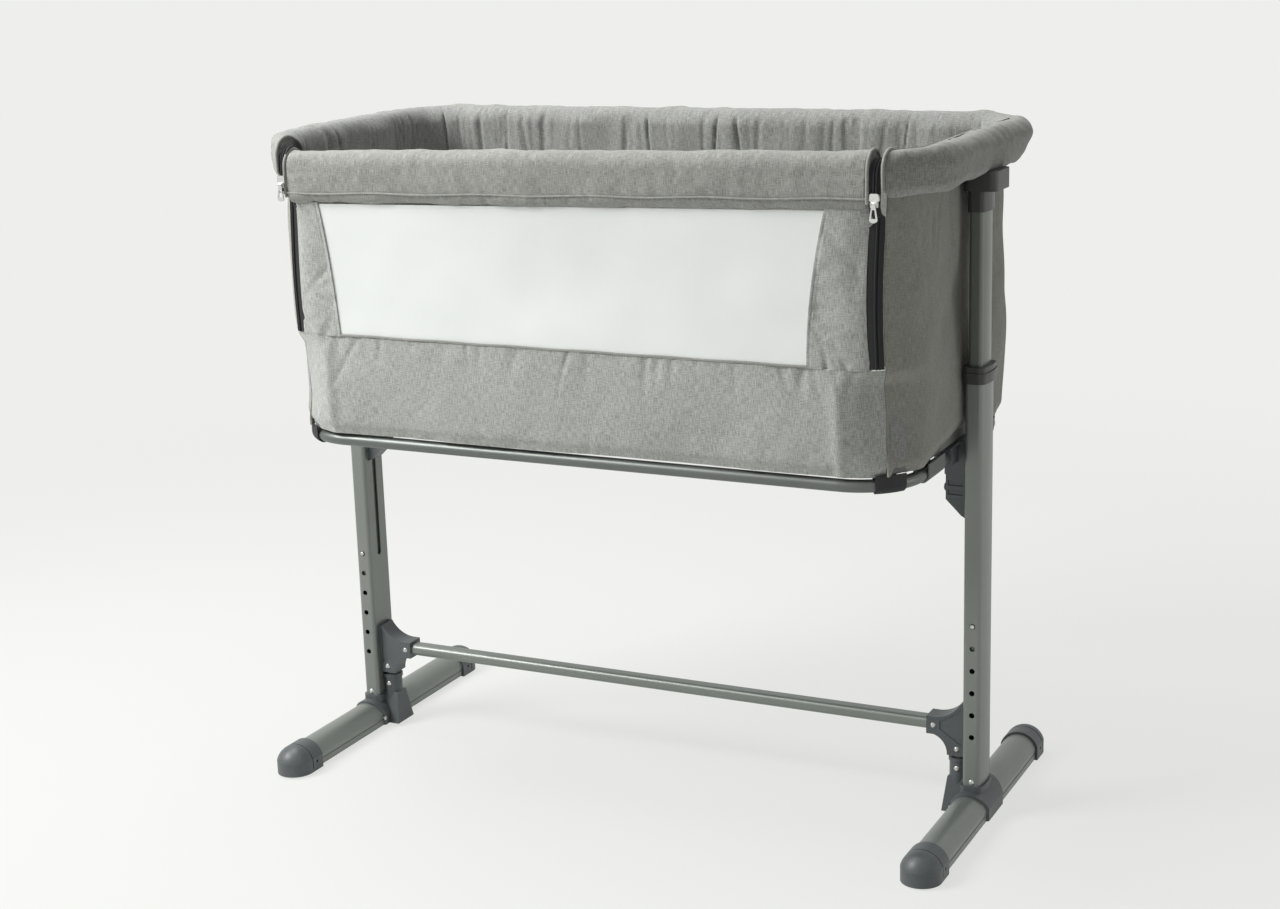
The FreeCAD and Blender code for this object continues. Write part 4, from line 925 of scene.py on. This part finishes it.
def window_strip(side):
    """The cloth between the window and the zip on one side."""
    u = np.linspace(0, 1, 70)[:, None]
    v = np.linspace(0, 1, 80)[None, :]
    z = BAND_TOP - 0.0004 + (0.8085 - BAND_TOP) * v
    inner_x = window_edge(z, side)
    outer_x = DROP_END - 0.0004 - 0.0042 * np.sin(math.pi * np.clip(v, 0.0001, 0.9999)) ** 0.3
    x = inner_x + (outer_x - inner_x) * u
    z = BAND_TOP - 0.0004 + (drop_top(x) - BAND_TOP + 0.0004) * v
    points = laid(x, 0, z + side)
    middle = np.sin(math.pi * v) * smooth_step(u, 0, 0.15) * smooth_step(1 - u, 0, 0.2)
    bulge = 0.0022 * wander(points, 0.09, 61) * middle
    bulge = bulge - 0.0030 * creases(z, x - inner_x, (0.64, 0.80), 7, 64 + side, 0.0055, 0.05, 0.9) * middle
    bulge = bulge - 0.0018 * creases(x, z - z[:, :1], (0.33, 0.40), 6, 62 + side, 0.0040, 0.03, 0.6)
    bulge = bulge - 0.0006 * bell(x - window_edge(z, side), 0.004, 0.0010)
    return hang(laid(side * x, front_y(x, TUB, bulge), z), DROP_TILT), laid(x, z)


for side, word in ((-1, "left"), (1, "right")):
    grid, uv = window_strip(side)
    strip = cloth_shell("window_strip_" + word, grid, uv, CLOTH, inward=side)
    fit(strip, front_cloth, "drop_strips", body=None)
    cloth_sheet(grid)

# %% The net
net_u = np.linspace(-1, 1, 200)[:, None]
net_v = np.linspace(0, 1, 60)[None, :]
z = BAND_TOP - 0.0004 + (0.8068 - BAND_TOP) * net_v + 0 * net_u
x = (np.where(net_u < 0, window_edge(z, -1), window_edge(z, 1)) + 0.003) * net_u
slack = np.sin(math.pi * net_v) * (1 - net_u ** 2) ** 0.5
y = -TUB[1] + 0.0016 + 0.0035 * slack + 0.0012 * wander(laid(x, 0, z), 0.12, 71) * slack
net_grid = hang(laid(x, y, z), DROP_TILT)
net = cloth_shell("window_net_cloth", net_grid, laid(x, z), 0.0006)
cloth_sheet(net_grid)
fit(net, window_net, "mesh_window", body=None)

# %% The binding along the window's foot
hem_x = np.linspace(-0.327, 0.327, 240)[:, None] - WINDOW_SHIFT
hem_turn = np.linspace(-0.5, 1.5, 16)[None, :-1] * math.pi
hem_z = 0.6296 + 0.0016 * np.sin(hem_turn) + 0.0004 * np.sin(hem_x * 60)
hem_y = -TUB[1] + 0.0003 - 0.0011 * np.cos(hem_turn)
binding = closed_roll("window_binding", hang(laid(hem_x, hem_y, hem_z)), laid(hem_x, 0.002 * hem_turn))
fit(binding, piping_cloth, "window_hem", body=None)
print("net and binding made")

# %% [markdown]
# ## The zips
# On each side a black zip runs over the roll and down to the band. Half of it belongs to the
# drop side and half to the tub. A half is a tape with a bead of coil along its edge.

# %% Zip halves
def zip_line(x):
    """The zip's face in the upright plane at x: over the roll, under it, and down the wall."""
    top = np.linspace(math.pi / 2, 0, 24)
    half = ZIP_ROLL[0] / 2
    wall = float(-front_y(x, TUB, 0.0016) + front_y(x, RIM, 0.0))
    low = np.linspace(0.0185, max(wall, 0.0) + 0.0008, 16)
    out = np.concatenate([half * np.cos(top), np.full(12, half), low])
    up = [0.855 + half * np.sin(top), np.linspace(0.853, 0.823, 12), under_roll(low, ZIP_ROLL),
          np.linspace(0.803, SILL_Z - 0.001, 60)]
    y = [front_y(x, RIM, out), np.full(60, front_y(x, TUB, 0.0016))]
    line = evened(laid(x, np.concatenate(y), np.concatenate(up)), 520)
    for _ in range(12):
        line[1:-1] = (line[:-2] + 2 * line[1:-1] + line[2:]) / 4
    return line


def zip_half(name, x_edge, x_mid, body, node, wider=0.0):
    """Tape between two upright planes, with a coil of small bumps along the edge that meets its pair.

    Down the wall the tape may run on behind the cloth beside the window, by the width given."""
    made = []
    to_mid = np.sign(x_mid - x_edge)
    for side in (-1, 1):
        columns = [zip_line(x_edge + (x_mid - x_edge) * t) for t in np.linspace(0, 1, 7)]
        tape = np.stack(columns, 1)
        behind = smooth_step(-tape[..., 2], -0.800, -0.790) * np.linspace(1, 0, 7)
        moved = tape[..., 0] - wider * behind
        tape[..., 1] += front_y(moved, TUB, 0.0) - front_y(tape[..., 0], TUB, 0.0) + 0.4 * wider * behind
        tape[..., 0] = side * moved
        tape = hang(tape)
        run = run_of(columns[0])
        uv = laid(run[:, None], np.abs(tape[..., 0]))
        made.append(cloth_shell(name + "_tape", tape, uv, 0.0010, inward=side * to_mid))
        line = hang(zip_line(x_mid - 0.0016 * to_mid) * [side, 1, 1]) - [0, 0.0006, 0]
        coil = tube_along(line, 0.0013 * (1 + 0.22 * np.cos(2 * math.pi * run / 0.0022)), sides=7)
        made.append(closed_roll(name + "_coil", coil, laid(run[:, None], 0 * coil[..., 0])))
    fit(joined_pieces(name, made), zip_tape, node, body)


zip_half("zip_fixed", SEAM_FRONT - 0.0002, ZIP_MID + 0.0001, "bassinet", "zip_tapes")
zip_half("zip_moving", DROP_END + 0.0002, ZIP_MID - 0.0001, None, "drop_zips", wider=0.0085)
print("zips made")

# %% [markdown]
# ## The bed
# A thin cloth floor carries a board and the mattress. The mattress is a soft slab with a crowned
# top and a quilted cover: shallow channels cross it both ways on the slant.

# %% Rounded slabs from rings
def ring_of(shape, shrink, count):
    """A closed rounded rectangle drawn in by shrink: both halves of the line, end to end."""
    half_s = half_way(shape)
    s = np.concatenate([np.linspace(0, half_s, count, endpoint=False),
                        -np.linspace(half_s, 0, count, endpoint=False)])
    x, y, _, _ = around(s, shape, -np.minimum(shrink, shape[2]))
    if shrink <= shape[2]:
        return laid(x, y)
    core_x, core_y, _, _ = around(s, shape, -shape[2])
    return laid(core_x, core_y * max(1 - (shrink - shape[2]) / (shape[1] - shape[2]), 0))


def quilting(x, y):
    """The quilt's pattern: 0 on its slanting channels, up to 1 between them."""
    one, other = (np.abs(np.sin(way * math.pi / 0.075)) for way in (x + y, x - y))
    return (one * other) ** 0.35


def slab(name, shape, profile, quilt=0.0):
    """A rounded slab: each ring of the profile is a height and a distance drawn in from the edge."""
    grid = np.stack([laid(*ring_of(shape, drawn_in, 220).T, height) for drawn_in, height in profile])
    if quilt:
        top = grid[..., 2] > grid[..., 2].max() - 0.012
        grid[..., 2] += np.where(top, quilt * (quilting(grid[..., 0], grid[..., 1]) - 1), 0)
    return closed_roll(name, grid, grid[..., :2])


def swell(piece, voxel, cap):
    """Blows a closed shape up a little with the cloth solver, so that it looks stuffed.

    The shape is rebuilt on an even lattice, pressed outwards for twenty steps without gravity, and no
    point may move further than the cap."""
    even = piece.modifiers.new("even", "REMESH")
    even.mode, even.voxel_size = "VOXEL", voxel
    graph = bpy.context.evaluated_depsgraph_get()
    rebuilt = bpy.data.meshes.new_from_object(piece.evaluated_get(graph))
    piece.modifiers.clear()
    piece.data = rebuilt
    start = np.empty(len(rebuilt.vertices) * 3)
    rebuilt.vertices.foreach_get("co", start)
    cloth = piece.modifiers.new("swell", "CLOTH")
    cloth.settings.use_pressure = True
    cloth.settings.uniform_pressure_force = 4.0
    cloth.settings.effector_weights.gravity = 0.0
    for step in range(1, 21):
        bpy.context.scene.frame_set(step)
    graph = bpy.context.evaluated_depsgraph_get()
    blown = np.empty(len(start))
    piece.evaluated_get(graph).data.vertices.foreach_get("co", blown)
    piece.modifiers.clear()
    bpy.context.scene.frame_set(1)
    move = (blown - start).reshape(-1, 3)
    size = np.linalg.norm(move, axis=1, keepdims=True)
    move *= np.minimum(1.0, cap / np.maximum(size, 1e-9))
    rebuilt.vertices.foreach_set("co", (start.reshape(-1, 3) + move).ravel())
    rebuilt.shade_smooth()
    print(piece.name, "swelled by", round(float(np.linalg.norm(move, axis=1).mean()) * 1000, 1), "mm on average")


MATTRESS = (0.4255, 0.2075, 0.066)
turn = np.linspace(-math.pi / 2, math.pi / 2, 15)
side_rows = [(0.009 * (1 - math.cos(t)) + 0.0005, 0.5265 + 0.0175 * math.sin(t)) for t in turn]
crown = [(0.010 + 0.055 * t, 0.5443 + 0.0042 * math.sin(t * math.pi / 2))
         for t in np.linspace(0.04, 1, 24)]
middle = [(0.066 + t, 0.5485 + 0.0004 * math.sin(math.pi * t / 0.28))
          for t in np.linspace(0.002, 0.1405, 70)]
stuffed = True
squeeze = 0.004 if stuffed else 0.0
mattress_rows = [(d + squeeze, z - squeeze * (z > 0.545)) for d, z in side_rows + crown + middle
                 if d + squeeze < 0.2065]
mattress = slab("mattress_pad", MATTRESS, mattress_rows, quilt=0.0 if stuffed else 0.0022)
if stuffed:
    swell(mattress, 0.005, 0.006)
    work = np.empty(len(mattress.data.vertices) * 3)
    mattress.data.vertices.foreach_get("co", work)
    work = work.reshape(-1, 3)
    channels = 1 - quilting(work[:, 0], work[:, 1])
    work[:, 2] -= 0.0026 * channels * smooth_step(work[:, 2], 0.534, 0.543)
    work[:, 2] = np.clip(work[:, 2], 0.5088, 0.5500)
    mattress.data.vertices.foreach_set("co", work.ravel())
    finer = mattress.modifiers.new("finer", "SUBSURF")
    finer.levels = finer.render_levels = 1
fit(mattress, mattress_cover, "mattress")

floor_shape = tuple(v - 0.0100 for v in TUB)
under = [(d, FLOOR_Z) for d in np.linspace(0.2115, 0.002, 40)]
upstand = [(0.0006, FLOOR_Z), (0.0, FLOOR_Z + 0.0006)]
upstand += [(0.0, FLOOR_Z + h) for h in np.linspace(0.002, 0.0125, 6)]
upstand += [(0.0006, FLOOR_Z + 0.0130), (0.0014, FLOOR_Z + 0.0125), (0.0015, FLOOR_Z + 0.0024)]
over = [(d, FLOOR_Z + 0.0018) for d in np.linspace(0.0025, 0.2115, 40)]
floor_cloth = slab("tub_floor_cloth", floor_shape, under + upstand + over)
fit(floor_cloth, lining_cloth, "tub_floor")
print("bed made")

# %% [markdown]
# ## Webbing loops on the lower ring
# The tub is held to the ring by loops of webbing sewn to its floor: a black one on each rounded
# corner and a grey tab with a snap on each side. A loop is a flat strip bent round the ring.

# %% Loops
def webbing_loop(name, s_mid, width, grow, thick, finish, node):
    """A strip that hangs from the floor, passes under the ring and comes back, on all four quarters."""
    made = []
    turn = np.linspace(0, -math.pi, 25)
    rise = np.linspace(1, 0, 8, endpoint=False)
    r = RING_R + grow + thick
    top = FLOOR_Z - 0.0005
    out = np.concatenate([np.full(8, r), r * np.cos(turn), np.full(8, -r)])
    straight = RING_Z + (top - RING_Z) * rise
    up = np.concatenate([straight, RING_Z + r * np.sin(turn), straight[::-1]])
    s = s_mid + np.linspace(-width / 2, width / 2, 24)[:, None]
    x, y, _, _ = around(s, RING, out[None, :])
    uv = laid(s, run_of(laid(out, up))[None, :])
    for side in (-1, 1):
        for front in (1, -1):
            grid = laid(side * x, front * y, up[None, :])
            made.append(cloth_shell(name + "_one", grid, uv, thick * 0.9, inward=-side * front))
    fit(joined_pieces(name, made), finish, node)


ring_corner_mid = RING[0] - RING[2] + math.pi / 4 * RING[2]
ring_side = RING[0] - RING[2] + math.pi / 2 * RING[2] + 0.031
webbing_loop("corner_straps", ring_corner_mid, 0.036, 0.0006, 0.0016,
             black_webbing, "ring_straps")
webbing_loop("side_tabs", ring_side, 0.060, 0.0004, 0.0020, grey_webbing, "ring_tabs")
print("webbing made")

# %% [markdown]
# ## Floor, light and camera
# The picture has a pale sweep with no horizon, and soft light from the left and the front. The
# floor is a plain disc that fades into the background's colour, so only the shadow shows it.

# %% The floor
PALE = (0.855, 0.862, 0.838)


def ray_kinds(tree):
    """1 for what the eye, a gloss or a clear surface sees, 0 for light that falls on the crib."""
    path = tree.nodes.new("ShaderNodeLightPath")
    kinds = ("Is Camera Ray", "Is Glossy Ray", "Is Transmission Ray")
    rays = [Value(tree, path.outputs[kind]) for kind in kinds]
    return (rays[0] + rays[1] + rays[2]).clamp()


def pale_floor():
    """A flat disc of rings round the origin that glows more and more like the background."""
    angle = np.linspace(0, 2 * math.pi, 97)[:-1]
    radii = np.array([0.6, 1.2, 2.0, 3.5, 6.0, 12.0])[:, None]
    points = laid(radii * np.cos(angle), radii * np.sin(angle), 0).reshape(-1, 3)
    fan = [[576, b, a] for a, b in zip(range(96), np.roll(np.arange(96), -1))]
    faces = [list(f) for f in grid_faces(6, 96, wrap=True)] + fan
    mesh = bpy.data.meshes.new("pale_floor")
    mesh.from_pydata(points.tolist() + [[0, 0, 0]], [], faces)
    floor = bpy.data.objects.new("pale_floor", mesh)
    bpy.context.scene.collection.objects.link(floor)
    paint = Finish("floor_paint", Roughness=0.95)
    paint.set("Base Color", (*[c * 0.86 for c in PALE], 1.0))
    x, y, _ = paint.split(paint.place())
    far = (x * x + y * y).maths("SQRT").step(0.9, 2.6)
    glow = paint.node("ShaderNodeEmission", Color=(*PALE, 1.0), Strength=1.0)
    blend = paint.node("ShaderNodeMixShader")
    paint.feed(blend.inputs[0], (far * 0.22 + 0.78) * ray_kinds(paint.tree))
    paint.feed(blend.inputs[1], paint.shader.outputs[0])
    paint.feed(blend.inputs[2], glow.outputs[0])
    output = next(n for n in paint.tree.nodes if n.type == "OUTPUT_MATERIAL")
    paint.tree.links.new(blend.outputs[0], output.inputs["Surface"])
    mesh.materials.append(paint.material)


pale_floor()

# %% The world and the lamps
world = bpy.data.worlds.new("pale_world")
bpy.context.scene.world = world
world.use_nodes = True
sky = world.node_tree
seen = ray_kinds(sky)
background = sky.nodes["Background"]
shade = sky.nodes.new("ShaderNodeMix")
shade.data_type = "RGBA"
sky.links.new(seen.socket, shade.inputs["Factor"])
shade.inputs[6].default_value = (0.235, 0.235, 0.235, 1.0)
shade.inputs[7].default_value = (*PALE, 1.0)
sky.links.new(shade.outputs[2], background.inputs["Color"])
background.inputs["Strength"].default_value = 1.0


def facing_matrix(right, up, back, place):
    """Where a lamp or a camera stands: its three directions and its place as the columns."""
    rows = zip(np.stack([right, up, back], 1), place)
    return Matrix([[*row, p] for row, p in rows] + [[0, 0, 0, 1]])


def area_lamp(name, place, aim, size, power):
    """A soft square lamp at a place, turned to face a point."""
    lamp = bpy.data.lights.new(name, "AREA")
    lamp.shape, lamp.size, lamp.energy = "SQUARE", size, power
    item = bpy.data.objects.new(name, lamp)
    back = np.array(place, float) - np.array(aim, float)
    back /= np.linalg.norm(back)
    right = np.cross([0, 0, 1], back)
    right /= np.linalg.norm(right)
    item.matrix_world = facing_matrix(right, np.cross(back, right), back, place)
    bpy.context.scene.collection.objects.link(item)


area_lamp("key_lamp", (-2.0, -1.7, 2.4), (-0.2, 0.0, 0.6), 1.3, 112.0)
area_lamp("fill_lamp", (3.0, 0.6, 0.7), (0.1, 0.0, 0.6), 1.2, 7.0)
area_lamp("top_lamp", (-0.9, 0.1, 3.1), (-0.1, 0.0, 0.5), 1.8, 68.0)

# %% The camera
camera_data = bpy.data.cameras.new("studio_camera")
camera_data.sensor_fit = "HORIZONTAL"
camera_data.sensor_width = 36.0
camera_data.lens = 2142.78 / 1280 * 36.0
camera_data.clip_end = 60.0
azimuth, elevation, roll = (math.radians(v) for v in (26.44, 14.23, -1.79))
distance, target = 3.25489, np.array([-0.1720, 0.31297, 0.35351])
back = np.array([math.sin(azimuth) * math.cos(elevation), -math.cos(azimuth) * math.cos(elevation),
                 math.sin(elevation)])
right = np.cross(-back, [0, 0, 1])
right /= np.linalg.norm(right)
up = np.cross(right, -back)
right_rolled = math.cos(roll) * right + math.sin(roll) * up
up_rolled = -math.sin(roll) * right + math.cos(roll) * up
place = target + back * distance
camera = bpy.data.objects.new("studio_camera", camera_data)
camera.matrix_world = facing_matrix(right_rolled, up_rolled, back, place)
bpy.context.scene.collection.objects.link(camera)
bpy.context.scene.camera = camera
bpy.context.scene.view_settings.view_transform = "Standard"
print("camera at", place.round(3), "lens", round(camera_data.lens, 2))
